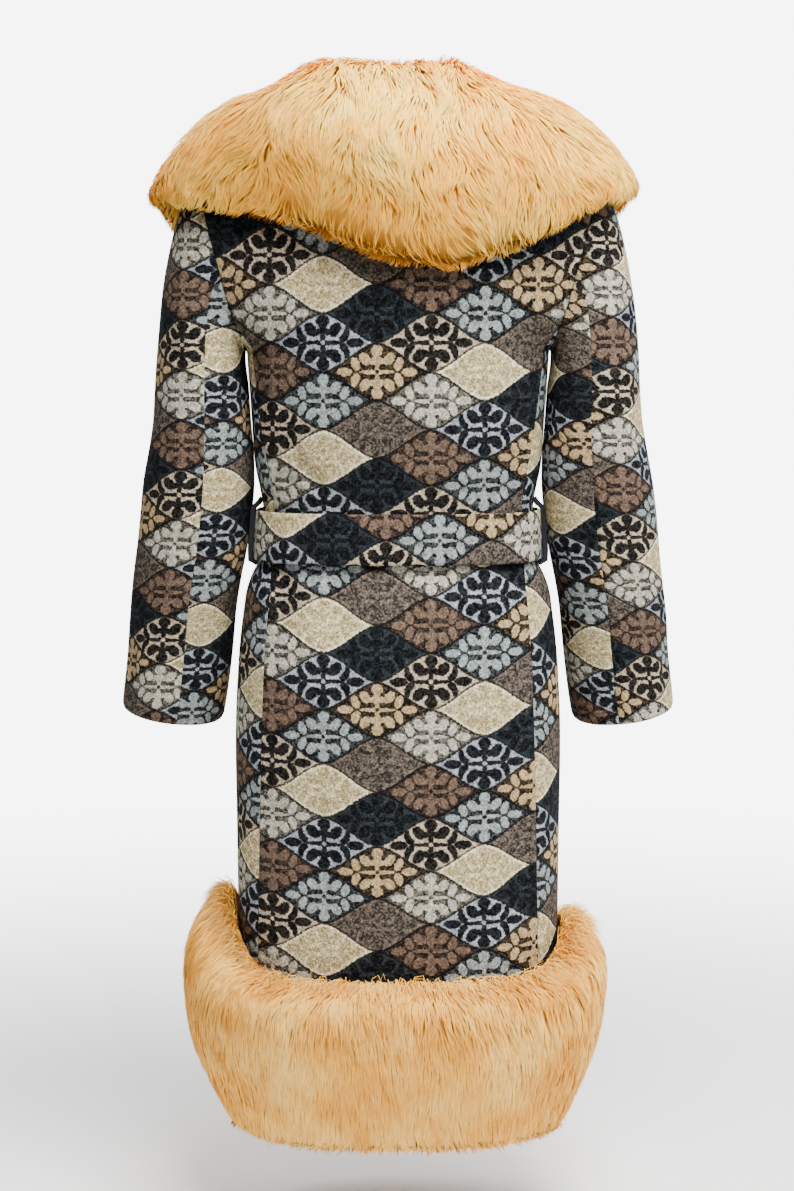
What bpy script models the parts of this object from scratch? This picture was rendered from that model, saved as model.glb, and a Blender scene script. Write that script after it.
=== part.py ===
"""Fur-trimmed tapestry coat, filled out as if worn, held at the shoulders.

Metres, +Z up. The front faces -Y and the wearer's left is +X. The origin is between the shoulders,
where a wearer's shoulders carry the coat. Each cut piece is a wall of cloth and an object of its own.
"""

import math

import bpy
import numpy as np
from mathutils import Vector
from mathutils.bvhtree import BVHTree

# Cloth
CLOTH = 0.0022
SEAM_GAP = 0.0004
LAP_DROP = 0.0036

# Heights
UNDERARM_Z = -0.190
V_POINT_Z = -0.300
CLOTH_HEM_Z = -0.846
BELT_TOP_Z = -0.356
BELT_BOTTOM_Z = -0.407

# Shoulders and neck
NECK_SIDE_X = 0.0756
NECK_BACK_Y = 0.062
BODY_EXPONENT = 2.5
CAP_EXPONENT = 2.6
PRINCESS_TOP = 0.165
FRONT_OVERLAP = 0.030

# The coat's level loops below the underarm, from the hem up.
BODY_COLUMNS = ("z", "half_width", "back", "front")
BODY_LEVELS = (
    (-0.830, 0.1680, 0.126, 0.128),
    (-0.770, 0.1690, 0.126, 0.127),
    (-0.700, 0.1695, 0.126, 0.126),
    (-0.630, 0.1705, 0.126, 0.126),
    (-0.588, 0.1708, 0.125, 0.125),
    (-0.546, 0.1690, 0.123, 0.123),
    (-0.504, 0.1664, 0.118, 0.119),
    (-0.452, 0.1602, 0.107, 0.111),
    (-0.432, 0.1565, 0.101, 0.107),
    (-0.410, 0.1463, 0.092, 0.100),
    (-0.385, 0.1420, 0.089, 0.098),
    (-0.352, 0.1408, 0.089, 0.100),
    (-0.315, 0.1480, 0.096, 0.112),
    (-0.262, 0.1520, 0.104, 0.127),
    (-0.225, 0.1545, 0.107, 0.129),
    (-0.190, 0.1570, 0.108, 0.124),
)
BODY_ROWS = (
    -0.846, -0.790, -0.730, -0.665, -0.610, -0.565, -0.525, -0.490, -0.460, -0.440, -0.424,
    -0.410, -0.392, -0.372, -0.352, -0.332, -0.310, -0.285, -0.258, -0.232, -0.210, -0.190,
)

# The yoke above the underarm: share of the way up, and the half-width that the sides spread to.
YOKE_SPREAD = ((0.0, 0.157), (0.10, 0.171), (0.25, 0.191), (0.45, 0.2105), (0.70, 0.231), (1.0, 0.252))
SHOULDER_LINE = ((0.0, 0.046), (0.30, 0.030), (0.55, 0.006), (0.813, -0.021), (1.0, -0.042))
YOKE_LOW_LEVELS = (0.05, 0.11, 0.18)
YOKE_ROWS = 9

# Where the armhole cuts the yoke: share of the way up, and the share of the half-width.
ARMHOLE_BACK = ((0.0, 1.0), (0.06, 0.970), (0.13, 0.935), (0.25, 0.898), (0.45, 0.858), (0.70, 0.832), (1.0, 0.813))
ARMHOLE_FRONT = ((0.0, 1.0), (0.06, 0.955), (0.13, 0.905), (0.25, 0.848), (0.45, 0.806), (0.70, 0.798), (1.0, 0.813))

# The seam between the centre back and the side back: height, and distance from the centre.
PRINCESS_SEAM = (
    (-0.830, 0.146), (-0.650, 0.142), (-0.500, 0.137), (-0.420, 0.131), (-0.350, 0.128),
    (-0.285, 0.138), (-0.240, 0.144), (-0.190, 0.150),
)

# The front edge: height, and distance of the edge from the centre line on its own side.
FRONT_EDGE = (
    (-0.830, -0.030), (-0.460, -0.030), (-0.400, -0.026), (-0.350, -0.014), (-0.300, 0.000),
    (-0.190, 0.0265), (-0.100, 0.048), (0.000, 0.070), (0.030, 0.0756),
)

# The sleeve below the cap: sections across its own axis.
SLEEVE_COLUMNS = ("z", "x", "y", "half_width", "half_depth")
SLEEVE_SECTIONS = (
    (-0.573, 0.2405, -0.045, 0.0545, 0.054),
    (-0.546, 0.2370, -0.040, 0.0555, 0.0545),
    (-0.504, 0.2315, -0.031, 0.0557, 0.055),
    (-0.441, 0.2243, -0.018, 0.0558, 0.056),
    (-0.378, 0.2138, -0.007, 0.0575, 0.058),
    (-0.315, 0.2068, 0.001, 0.0572, 0.061),
    (-0.270, 0.2042, 0.002, 0.0516, 0.065),
    (-0.235, 0.2038, 0.001, 0.0488, 0.068),
)
CAP_STEPS = 6
SLEEVE_ROWS = 11
BACK_SEAM_ANGLE = 108.0
FRONT_SEAM_ANGLE = 118.0

# The belt and its two loops
BELT_THICKNESS = 0.0036
BELT_TOP = (0.1458, 0.0945, 0.1060)
BELT_BOTTOM = (0.1486, 0.0970, 0.1062)
BELT_LAP = 0.085
BELT_TIP = 0.030
BELT_SECTIONS = 84
LOOP_WIDTH = 0.012
LOOP_THICKNESS = 0.0020
LOOP_REACH = 0.010
LOOP_REACH_BELOW = 0.004

# The fur collar at stations along the neck seam, from the centre back at 0 by the shoulder to the front
# end at 1: the way its fall turns about +Z, its droop, how far its upright leans back, and its lengths.
COLLAR_COLUMNS = ("station", "turn", "droop", "lean", "fall", "lip")
COLLAR_STATIONS = (
    (0.00, 0.0, 52.0, 40.0, 0.126, 0.016),
    (0.14, 30.0, 47.0, 32.0, 0.124, 0.016),
    (0.28, 62.0, 38.0, 14.0, 0.138, 0.016),
    (0.40, 90.0, 27.0, 0.0, 0.170, 0.016),
    (0.50, 103.0, 24.0, -28.0, 0.166, 0.016),
    (0.62, 111.0, 17.0, -56.0, 0.138, 0.016),
    (0.78, 111.0, 12.0, -76.0, 0.112, 0.015),
    (0.90, 106.0, 9.0, -82.0, 0.086, 0.013),
    (1.00, 100.0, 6.0, -85.0, 0.048, 0.010),
)
# Its thickness at four places up the fall, and then its outline on over the crest and down to the seam.
COLLAR_PROFILE_COLUMNS = ("station", "edge", "low", "middle", "high") + 5 * ("reach", "height")
COLLAR_PROFILE = (
    (0.00, 0.045, 0.066, 0.080, 0.086, -0.017, 0.086, -0.046, 0.071, -0.052, 0.046, -0.038, 0.020, -0.013, 0.006),
    (0.20, 0.041, 0.058, 0.070, 0.076, -0.008, 0.078, -0.034, 0.070, -0.040, 0.048, -0.030, 0.024, -0.012, 0.007),
    (0.40, 0.031, 0.047, 0.058, 0.062, 0.019, 0.063, -0.006, 0.064, -0.020, 0.050, -0.018, 0.030, -0.007, 0.009),
    (0.55, 0.028, 0.042, 0.052, 0.056, 0.019, 0.058, 0.003, 0.053, -0.008, 0.041, -0.008, 0.024, -0.004, 0.008),
    (0.75, 0.028, 0.040, 0.048, 0.051, 0.018, 0.050, 0.004, 0.046, -0.006, 0.037, -0.007, 0.022, -0.003, 0.007),
    (1.00, 0.014, 0.022, 0.027, 0.029, 0.011, 0.029, 0.004, 0.026, 0.000, 0.021, -0.001, 0.013, -0.0005, 0.005),
)
COLLAR_STEPS = 28
COLLAR_CLEAR = 0.0020
COLLAR_FULL = (
    (0.00, 1.01, 1.01), (0.08, 1.05, 0.99), (0.16, 1.08, 1.02), (0.22, 1.06, 1.12), (0.30, 0.95, 1.02),
    (0.45, 0.95, 0.96), (0.70, 1.00, 1.00), (1.00, 1.00, 1.00),
)
COLLAR_SHIFT = 0.016
COLLAR_SHIFT_SHARES = (0.0, 0.2, 0.5, 0.8, 1.0, 1.0, 0.9, 0.5, 0.0)
COLLAR_FALL_BEHIND = 0.10
COLLAR_FALL_SHOULDER = 0.04

# The fur band round the hem
FUR_BOTTOM_Z = -1.000
FUR_SECTIONS = 60
FUR_OUT_LEFT = 0.056
FUR_OUT_RIGHT = 0.049
FUR_OUT_BACK = 0.046
FUR_RISE_LEFT = 0.090
FUR_RISE_RIGHT = 0.062
FUR_RISE_BACK = 0.016
FUR_END_GAP = 0.0012

# Colour, roughness and metallic value of each material
MATERIALS = {
    "tapestry": ((0.090, 0.085, 0.080), 0.92, 0.0),
    "belt_tapestry": ((0.130, 0.115, 0.095), 0.92, 0.0),
    "loop_wool": ((0.020, 0.020, 0.024), 0.95, 0.0),
    "fox_fur": ((0.780, 0.520, 0.270), 0.85, 0.0),
}


def clear_scene():
    for obj in list(bpy.data.objects):
        bpy.data.objects.remove(obj, do_unlink=True)


def smooth_table(rows, at, column=1):
    """A value of a table at a place between its rows, on a smooth curve with no overshoot."""
    xs = np.array([row[0] for row in rows], float)
    ys = np.array([row[column] for row in rows], float)
    slopes = np.diff(ys) / np.diff(xs)
    tangents = np.concatenate([[slopes[0]], (slopes[:-1] + slopes[1:]) / 2, [slopes[-1]]])
    flat = np.concatenate([[False], slopes[:-1] * slopes[1:] <= 0, [False]])
    tangents[flat] = 0.0
    at = min(max(at, xs[0]), xs[-1])
    i = int(min(max(np.searchsorted(xs, at) - 1, 0), len(xs) - 2))
    width = xs[i + 1] - xs[i]
    t = (at - xs[i]) / width
    return float(
        (2 * t**3 - 3 * t**2 + 1) * ys[i]
        + (t**3 - 2 * t**2 + t) * width * tangents[i]
        + (3 * t**2 - 2 * t**3) * ys[i + 1]
        + (t**3 - t**2) * width * tangents[i + 1]
    )


def smooth_step(value, low, high):
    t = min(max((value - low) / (high - low), 0.0), 1.0)
    return t * t * (3 - 2 * t)


def side_share(share):
    """The angle round the body, 0 at the centre line and 90 degrees at the side, of a share of the half-width."""
    return math.asin(min(max(abs(share), 0.0), 1.0) ** (BODY_EXPONENT / 2))


def yoke_share(row):
    """The share of the way up the yoke, 0 to 1, of a row counted from the underarm."""
    angle = math.pi / 2 * row / YOKE_ROWS
    return math.sin(angle) ** (2 / CAP_EXPONENT)


def body_size(z):
    return [smooth_table(BODY_LEVELS, z, column) for column in (1, 2, 3)]


def torso_point(back, angle, level):
    """A point on the coat's outer face.

    back is True on the back and False on the front. angle runs from 0 at the centre line to 90 degrees
    at the side, and is negative across the centre line. level is below 0 for metres under the underarm,
    and from 0 to 1 for the share of the way up the yoke."""
    lateral = math.copysign(abs(math.sin(angle)) ** (2 / BODY_EXPONENT), angle)
    inward = abs(math.cos(angle)) ** (2 / BODY_EXPONENT)
    half_width, back_depth, front_depth = body_size(UNDERARM_Z + min(level, 0.0))
    depth = back_depth if back else -front_depth
    if level <= 0:
        return Vector((lateral * half_width, inward * depth, UNDERARM_Z + level))
    spread = smooth_table(YOKE_SPREAD, level)
    top = smooth_table(SHOULDER_LINE, abs(lateral))
    cap = max(1 - level**CAP_EXPONENT, 0.0) ** (1 / CAP_EXPONENT)
    return Vector((lateral * spread, inward * depth * cap, UNDERARM_Z + level * (top - UNDERARM_Z)))


def mirrored(point, side):
    return Vector((point.x * side, point.y, point.z))


def surface_normal(back, angle, level):
    """The cloth's outward normal at a point of the coat's outer face."""
    step = 0.012
    high = min(level + step, 1.0 if level > 0 else 0.0)
    low = max(level - step, 0.0) if level > 0 else level - step
    across = torso_point(back, angle + step, level) - torso_point(back, angle - step, level)
    along = torso_point(back, angle, high) - torso_point(back, angle, low)
    normal = across.cross(along)
    if level > 0.9999:
        normal.y = 0.0
        return normal.normalized() if normal.z > 0 else -normal.normalized()
    return -normal.normalized() if back else normal.normalized()


def wall_mesh(outer, inner):
    """Points and faces of a closed wall between an outer and an inner grid."""
    rows, columns = len(outer), len(outer[0])
    points = [p for line in outer for p in line] + [p for line in inner for p in line]
    back = rows * columns
    faces = []
    for i in range(rows - 1):
        for j in range(columns - 1):
            a, b = i * columns + j, i * columns + j + 1
            c, d = b + columns, a + columns
            faces.append((a, b, c, d))
            faces.append((back + d, back + c, back + b, back + a))
    rim = [j for j in range(columns)]
    rim += [i * columns + columns - 1 for i in range(1, rows)]
    rim += [(rows - 1) * columns + j for j in range(columns - 2, -1, -1)]
    rim += [i * columns for i in range(rows - 2, 0, -1)]
    for a, b in zip(rim, rim[1:] + rim[:1]):
        faces.append((b, a, back + a, back + b))
    return points, faces


def add_object(name, points, faces, material):
    mesh = bpy.data.meshes.new(name)
    mesh.from_pydata([tuple(p) for p in points], [], faces)
    mesh.validate()
    mesh.update()
    if signed_volume(mesh) < 0:
        mesh.flip_normals()
    mesh.shade_smooth()
    mesh.set_sharp_from_angle(angle=math.radians(50))
    mesh.materials.append(material)
    obj = bpy.data.objects.new(name, mesh)
    bpy.context.scene.collection.objects.link(obj)
    return obj


def signed_volume(mesh):
    mesh.calc_loop_triangles()
    total = 0.0
    for triangle in mesh.loop_triangles:
        a, b, c = (mesh.vertices[i].co for i in triangle.vertices)
        total += a.dot(b.cross(c))
    return total


def cloth_wall(name, grid, normals, material, thickness=CLOTH):
    """A wall of cloth whose outer face is the grid. Its normals point out of the garment."""
    inner = [[p - n * thickness for p, n in zip(line, ns)] for line, ns in zip(grid, normals)]
    return add_object(name, *wall_mesh(grid, inner), material)


def body_wall(name, places, back, side, material, drop=None):
    """A panel of the body from the places, angle and level, of its points on the coat's face."""
    grid, normals = [], []
    for line in places:
        points = []
        for angle, level in line:
            point = torso_point(back, angle, level)
            if level > 0.9999:
                point.y = SEAM_GAP / 2 if back else -SEAM_GAP / 2
            if drop:
                point.y += drop(point)
            points.append(mirrored(point, side))
        grid.append(points)
        normals.append([mirrored(surface_normal(back, angle, level), side) for angle, level in line])
    return cloth_wall(name, grid, normals, material)


def gap_angle(back, angle, level, width):
    """How far to turn from a seam so that the edge stands width away from it."""
    step = 0.002
    span = (torso_point(back, angle + step, level) - torso_point(back, angle - step, level)).length
    return width * 2 * step / max(span, 1e-6)


def body_levels():
    return [z - UNDERARM_Z for z in BODY_ROWS]


def yoke_levels():
    return list(YOKE_LOW_LEVELS) + [yoke_share(row) for row in range(1, YOKE_ROWS + 1)]


def princess_angle(level):
    if level <= 0:
        z = UNDERARM_Z + level
        return side_share(smooth_table(PRINCESS_SEAM, z) / body_size(z)[0])
    start = side_share(smooth_table(PRINCESS_SEAM, UNDERARM_Z) / body_size(UNDERARM_Z)[0])
    end = side_share(smooth_table(ARMHOLE_BACK, PRINCESS_TOP))
    return start + (end - start) * (level / PRINCESS_TOP)


def armhole_angle(back, level):
    return side_share(smooth_table(ARMHOLE_BACK if back else ARMHOLE_FRONT, level))


def back_neck_level(angle):
    """How far up the yoke the back neck seam runs at an angle from the centre back."""
    lateral = abs(math.sin(angle)) ** (2 / BODY_EXPONENT)
    neck = NECK_SIDE_X / smooth_table(YOKE_SPREAD, 1.0)
    if lateral >= neck:
        return 1.0
    depth = NECK_BACK_Y * math.sqrt(1 - (lateral / neck) ** 2)
    full = body_size(UNDERARM_Z)[1] * abs(math.cos(angle)) ** (2 / BODY_EXPONENT)
    return (1 - (depth / full) ** CAP_EXPONENT) ** (1 / CAP_EXPONENT)


def back_centre_places(columns=14):
    """The centre back, from the hem to the neck and shoulder seams."""
    places = []
    for level in body_levels() + yoke_levels():
        edge = princess_angle(level) if level < PRINCESS_TOP else armhole_angle(True, level)
        edge -= gap_angle(True, edge, level, SEAM_GAP / 2)
        share = math.sin(edge) ** (2 / BODY_EXPONENT)
        line = []
        for j in range(columns + 1):
            across = 2 * j / columns - 1
            angle = math.copysign(side_share(share * abs(across)), across)
            top = back_neck_level(angle)
            line.append((angle, level if level <= 0.7 else 0.7 + (level - 0.7) * (top - 0.7) / 0.3))
        places.append(line)
    return places


def side_back_levels():
    """The level rows of the side back, which ends where its seam meets the armhole."""
    upper = [level for level in yoke_levels() if level < PRINCESS_TOP - 0.03]
    return body_levels() + upper + [PRINCESS_TOP - 0.02]


def side_back_places(columns=6):
    places = []
    for level in side_back_levels():
        inner = princess_angle(level)
        inner += gap_angle(True, inner, level, SEAM_GAP / 2)
        outer = math.pi / 2 if level <= 0 else armhole_angle(True, level)
        outer -= gap_angle(True, math.pi / 2 - 0.01, level, SEAM_GAP / 2)
        places.append([(inner + (outer - inner) * j / columns, level) for j in range(columns + 1)])
    return places


def front_edge_angle(level):
    """The angle of the front edge, negative where it laps past the centre line."""
    top = smooth_table(SHOULDER_LINE, 0.2)
    z = UNDERARM_Z + (level if level <= 0 else level * (top - UNDERARM_Z))
    x = smooth_table(FRONT_EDGE, z)
    spread = body_size(z)[0] if level <= 0 else smooth_table(YOKE_SPREAD, level)
    return math.copysign(side_share(abs(x) / spread), x)


def front_places(columns=11):
    """A front, from its lapped edge to the side seam and armhole."""
    places = []
    for level in body_levels() + yoke_levels():
        inner = front_edge_angle(level)
        outer = math.pi / 2 if level <= 0 else armhole_angle(False, level)
        outer -= gap_angle(False, math.pi / 2 - 0.01, level, SEAM_GAP / 2)
        first = math.copysign(abs(math.sin(inner)) ** (2 / BODY_EXPONENT), inner)
        last = math.sin(outer) ** (2 / BODY_EXPONENT)
        line = []
        for j in range(columns + 1):
            t = j / columns
            by_width = first + (last - first) * t
            by_width_angle = math.copysign(side_share(by_width), by_width)
            by_turn_angle = inner + (outer - inner) * t
            line.append((by_width_angle + (by_turn_angle - by_width_angle) * smooth_step(t, 0.45, 1.0), level))
        places.append(line)
    return places


def lap_drop(point):
    """How far the left front lies behind the right one where they lap."""
    return LAP_DROP * (1 - smooth_step(point.x, 0.034, 0.066))


def armhole_loop():
    """The left armhole from the shoulder tip down the back to the underarm, and up the front again.

    Each entry is a point of the seam and the way that the body's cloth runs off into the sleeve."""
    back = [(True, level) for level in reversed(yoke_levels()) if level > PRINCESS_TOP - 0.02]
    back += [(True, level) for level in reversed(side_back_levels()) if level > 0]
    front = [(False, level) for level in yoke_levels()[:-1]]
    places = []
    for is_back, level in back + [(True, 0.0)] + front:
        places.append((is_back, math.pi / 2 if level == 0 else armhole_angle(is_back, level), level))
    points = [torso_point(*place) for place in places]
    target = sum(points, Vector()) / len(points) + Vector((0.1, 0, 0))
    entries = []
    for i, (point, place) in enumerate(zip(points, places)):
        tangent = points[(i + 1) % len(points)] - points[i - 1]
        across = tangent.cross(surface_normal(*place)).normalized()
        if across.dot(target - point) < 0:
            across = -across
        entries.append((point, across))
    return entries


def loop_angles(points):
    """The angle round the sleeve of each armhole point: 0 outside, 90 at the back, 180 inside, 270 at the front."""
    lengths = [0.0]
    for a, b in zip(points, points[1:]):
        lengths.append(lengths[-1] + (b - a).length)
    low = min(range(len(points)), key=lambda i: points[i].z)
    total = lengths[-1] + (points[0] - points[-1]).length
    angles = []
    for i, reach in enumerate(lengths):
        if i <= low:
            angles.append(180.0 * reach / lengths[low])
        else:
            angles.append(180.0 + 180.0 * (reach - lengths[low]) / (total - lengths[low]))
    return angles


def sleeve_frame(z):
    """The sleeve's centre, its two cross directions and its sizes at a height."""
    centre = Vector((smooth_table(SLEEVE_SECTIONS, z, 1), smooth_table(SLEEVE_SECTIONS, z, 2), z))
    step = 0.01
    low, high = max(z - step, SLEEVE_SECTIONS[0][0]), min(z + step, SLEEVE_SECTIONS[-1][0])
    down = Vector(
        (
            smooth_table(SLEEVE_SECTIONS, low, 1) - smooth_table(SLEEVE_SECTIONS, high, 1),
            smooth_table(SLEEVE_SECTIONS, low, 2) - smooth_table(SLEEVE_SECTIONS, high, 2),
            low - high,
        )
    ).normalized()
    outside = (Vector((1, 0, 0)) - down * down.x).normalized()
    behind = down.cross(outside)
    if behind.y < 0:
        behind = -behind
    return centre, outside, behind, down


def sleeve_point(angle_deg, z):
    centre, outside, behind, _ = sleeve_frame(z)
    half_width, half_depth = (smooth_table(SLEEVE_SECTIONS, z, column) for column in (3, 4))
    angle = math.radians(angle_deg)
    return centre + outside * math.cos(angle) * half_width + behind * math.sin(angle) * half_depth


def sleeve_grid():
    """The whole left sleeve: rows from the armhole to the cuff, columns round it from the shoulder tip."""
    entries = armhole_loop()
    angles = loop_angles([entry[0] for entry in entries])
    top_z, bottom_z = SLEEVE_SECTIONS[-1][0], SLEEVE_SECTIONS[0][0]
    down = sleeve_frame(top_z)[3]
    rows = []
    for step in range(CAP_STEPS):
        t = step / CAP_STEPS
        line = []
        for (point, across), angle in zip(entries, angles):
            target = sleeve_point(angle, top_z)
            start = point + across * SEAM_GAP * 1.5
            reach = (target - start).length
            leave = (across * 0.75 + Vector((0.45, 0, 0))).normalized() * reach * 0.42
            arrive = down * reach * 0.90
            line.append(
                start * (2 * t**3 - 3 * t**2 + 1)
                + leave * (t**3 - 2 * t**2 + t)
                + target * (3 * t**2 - 2 * t**3)
                + arrive * (t**3 - t**2)
            )
        rows.append(line)
    for step in range(SLEEVE_ROWS + 1):
        z = top_z + (bottom_z - top_z) * step / SLEEVE_ROWS
        rows.append([sleeve_point(angle, z) for angle in angles])
    return rows, angles, [across for _, across in entries]


def ring_normals(rows, axis_points):
    """The outward normals of a tube whose rows are closed rings."""
    count = len(rows[0])
    normals = []
    for i, row in enumerate(rows):
        above, below = rows[max(i - 1, 0)], rows[min(i + 1, len(rows) - 1)]
        line = []
        for j in range(count):
            along = below[j] - above[j]
            across = row[(j + 1) % count] - row[j - 1]
            normal = across.cross(along).normalized()
            if normal.dot(row[j] - axis_points[i]) < 0:
                normal = -normal
            line.append(normal)
        normals.append(line)
    return normals


def sleeve_pieces(side, material, label):
    rows, angles, seam_ways = sleeve_grid()
    normals = ring_normals(rows, [sum(row, Vector()) / len(row) for row in rows])
    for j, way in enumerate(seam_ways):
        if abs(normals[0][j].dot(way)) < 0.8:
            normals[0][j] = (normals[0][j] - way * normals[0][j].dot(way)).normalized()
    count = len(angles)
    back_seam = min(range(count), key=lambda j: abs(angles[j] - BACK_SEAM_ANGLE))
    front_seam = min(range(count), key=lambda j: abs(angles[j] - (360 - FRONT_SEAM_ANGLE)))
    upper = [j % count for j in range(front_seam, count + back_seam + 1)]
    under = list(range(back_seam, front_seam + 1))
    for name, columns in (("sleeve_upper", upper), ("sleeve_under", under)):
        grid, turned = [], []
        for row, ns in zip(rows, normals):
            line = [row[j].copy() for j in columns]
            line[0] += (line[1] - line[0]).normalized() * SEAM_GAP * 0.8
            line[-1] += (line[-2] - line[-1]).normalized() * SEAM_GAP * 0.8
            grid.append([mirrored(p, side) for p in line])
            turned.append([mirrored(ns[j], side) for j in columns])
        cloth_wall(f"{name}_{label}", grid, turned, material)


def belt_point(around, share, out):
    """A point of the belt: around from 0 to 360 degrees from the centre back by the wearer's left, share up."""
    sizes = [low + (high - low) * share for low, high in zip(BELT_BOTTOM, BELT_TOP)]
    angle = math.radians(around)
    lateral = math.copysign(abs(math.sin(angle)) ** (2 / BODY_EXPONENT), math.sin(angle))
    inward = math.copysign(abs(math.cos(angle)) ** (2 / BODY_EXPONENT), math.cos(angle))
    depth = sizes[1] if inward > 0 else sizes[2]
    z = BELT_BOTTOM_Z + (BELT_TOP_Z - BELT_BOTTOM_Z) * share
    point = Vector((lateral * sizes[0], inward * depth, z))
    normal = Vector((point.x / sizes[0] ** 2, point.y / depth**2, 0)).normalized()
    return point + normal * out


def lap_angle():
    """The turn at the front that BELT_LAP covers."""
    return math.degrees(BELT_LAP / BELT_TOP[2])


def belt_wall(material):
    """The belt goes once round, and its pointed end lies over its beginning at the front."""
    lap = lap_angle()
    start, end = 180 - lap / 2, 540 + lap / 2
    outer, inner = [], []
    for i in range(BELT_SECTIONS + 1):
        around = start + (end - start) * i / BELT_SECTIONS
        over = smooth_step(around, end - lap * 1.9, end - lap * 1.12) * (BELT_THICKNESS + 0.0008)
        left = math.radians(end - around) * BELT_TOP[2]
        narrow = 0.5 * (1 - min(left / BELT_TIP, 1.0)) * 0.72
        outer_line, inner_line = [], []
        for share in (0.0, 0.5, 1.0):
            kept = narrow + share * (1 - 2 * narrow)
            outer_line.append(belt_point(around, kept, over + BELT_THICKNESS))
            inner_line.append(belt_point(around, kept, over))
        outer.append(outer_line)
        inner.append(inner_line)
    add_object("belt", *wall_mesh(outer, inner), material)


def belt_loop(side, label, material):
    """A flat carrier round the belt at the side seam: a strip that stands off the coat above and below it."""
    out = BELT_THICKNESS + 0.0006
    top, bottom = BELT_TOP_Z + LOOP_REACH, BELT_BOTTOM_Z - LOOP_REACH_BELOW
    top_width, bottom_width = body_size(top)[0], body_size(bottom)[0]
    path = [
        (top_width + 0.0012, top),
        (top_width + 0.0030, top - 0.0030),
        (BELT_TOP[0] + out, BELT_TOP_Z + 0.0012),
        (BELT_TOP[0] + out + 0.0006, BELT_TOP_Z - 0.010),
        (BELT_BOTTOM[0] + out + 0.0006, BELT_BOTTOM_Z + 0.010),
        (BELT_BOTTOM[0] + out + 0.0004, BELT_BOTTOM_Z - 0.0010),
        (bottom_width + 0.0022, bottom + 0.0010),
        (bottom_width + 0.0010, bottom),
    ]
    outer, inner = [], []
    for i, (x, z) in enumerate(path):
        before, after = path[max(i - 1, 0)], path[min(i + 1, len(path) - 1)]
        along = Vector((after[0] - before[0], 0, after[1] - before[1])).normalized()
        normal = Vector((-along.z, 0, along.x))
        line_out, line_in = [], []
        for y in (-LOOP_WIDTH / 2, 0.0, LOOP_WIDTH / 2):
            point = Vector((x, y, z))
            line_in.append(mirrored(point, side))
            line_out.append(mirrored(point + normal * LOOP_THICKNESS, side))
        outer.append(line_out)
        inner.append(line_in)
    add_object(f"belt_loop_{label}", *wall_mesh(outer, inner), material)


def front_edge_line():
    """Points down the left front's edge from the shoulder to the collar's front end."""
    last = V_POINT_Z + 0.012 - UNDERARM_Z
    levels = [yoke_share(YOKE_ROWS * (1 - i / 40)) for i in range(41)] + [last * i / 16 for i in range(1, 17)]
    return [torso_point(False, front_edge_angle(level), level) for level in levels]


def neck_seam_point(station):
    """A point of the neck seam on the left: 0 at the centre back, 0.4 at the shoulder, 1 at the front end."""
    shoulder = 0.40
    if station <= shoulder:
        neck = NECK_SIDE_X / smooth_table(YOKE_SPREAD, 1.0)
        angle = side_share(neck * math.sin(math.pi / 2 * station / shoulder))
        return torso_point(True, angle, back_neck_level(angle))
    line = front_edge_line()
    lengths = [0.0]
    for a, b in zip(line, line[1:]):
        lengths.append(lengths[-1] + (b - a).length)
    reach = lengths[-1] * (station - shoulder) / (1 - shoulder)
    return Vector([float(np.interp(reach, lengths, [p[k] for p in line])) for k in range(3)])


def collar_frame(station):
    """The foot of the collar at a station on the left, the way its fall runs and the way it stands up."""
    turn, droop, lean = (math.radians(smooth_table(COLLAR_STATIONS, station, k)) for k in (1, 2, 3))
    run = Vector((math.sin(turn) * math.cos(droop), math.cos(turn) * math.cos(droop), -math.sin(droop)))
    tip = Vector((0.0, math.sin(lean), math.cos(lean)))
    up = (tip - run * tip.dot(run)).normalized()
    return neck_seam_point(station), run, up


def drape_tree(names):
    """A tree of the finished cloth, which the collar lies on."""
    points, faces = [], []
    for name in names:
        mesh = bpy.data.objects[name].data
        start = len(points)
        points += [v.co.copy() for v in mesh.vertices]
        faces += [tuple(start + i for i in f.vertices) for f in mesh.polygons]
    return BVHTree.FromPolygons(points, faces)


COLLAR_SHARES = (0.0, 0.12, 0.28, 0.45, 0.62, 0.78, 0.90, 1.0)


def rest_line(tree, station, side):
    """The cloth's heights above the straight line from the neck at the shares of one station's fall."""
    foot, run, up = (mirrored(v, side) for v in collar_frame(station))
    fall = collar_fall(station, side)
    line = []
    for share in COLLAR_SHARES:
        origin = foot + run * max(share * fall, 0.002) + up * 0.25
        hit = tree.ray_cast(origin, -up, 0.45)[0]
        height = None if hit is None else 0.25 - (hit - origin).length
        last = line[-1] if line else 0.0
        if height is None or abs(height - last) > 0.022:
            height = last - 0.006
        line.append(height)
    return line


def rest_heights(tree, count, side):
    """The heights that the collar rests at, for each station: the highest cloth near each place."""
    raw = [rest_line(tree, i / (2 * count), side) for i in range(2 * count + 1)]
    columns = len(COLLAR_SHARES)
    lifted = []
    for i in range(0, len(raw), 2):
        near = raw[max(i - 2, 0) : i + 3]
        lifted.append([max(max(row[max(j - 1, 0) : j + 2]) for row in near) for j in range(columns)])
    return lifted


def collar_fall(station, side):
    """The length of the fall. Behind the shoulders it is longer on the right, over them on the left."""
    behind = smooth_step(station, 0.0, 0.12) * (1 - smooth_step(station, 0.20, 0.34))
    over = smooth_step(station, 0.28, 0.40) * (1 - smooth_step(station, 0.50, 0.65))
    uneven = side * (COLLAR_FALL_SHOULDER * over - COLLAR_FALL_BEHIND * behind)
    return smooth_table(COLLAR_STATIONS, station, 4) * (1 + uneven)


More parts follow.
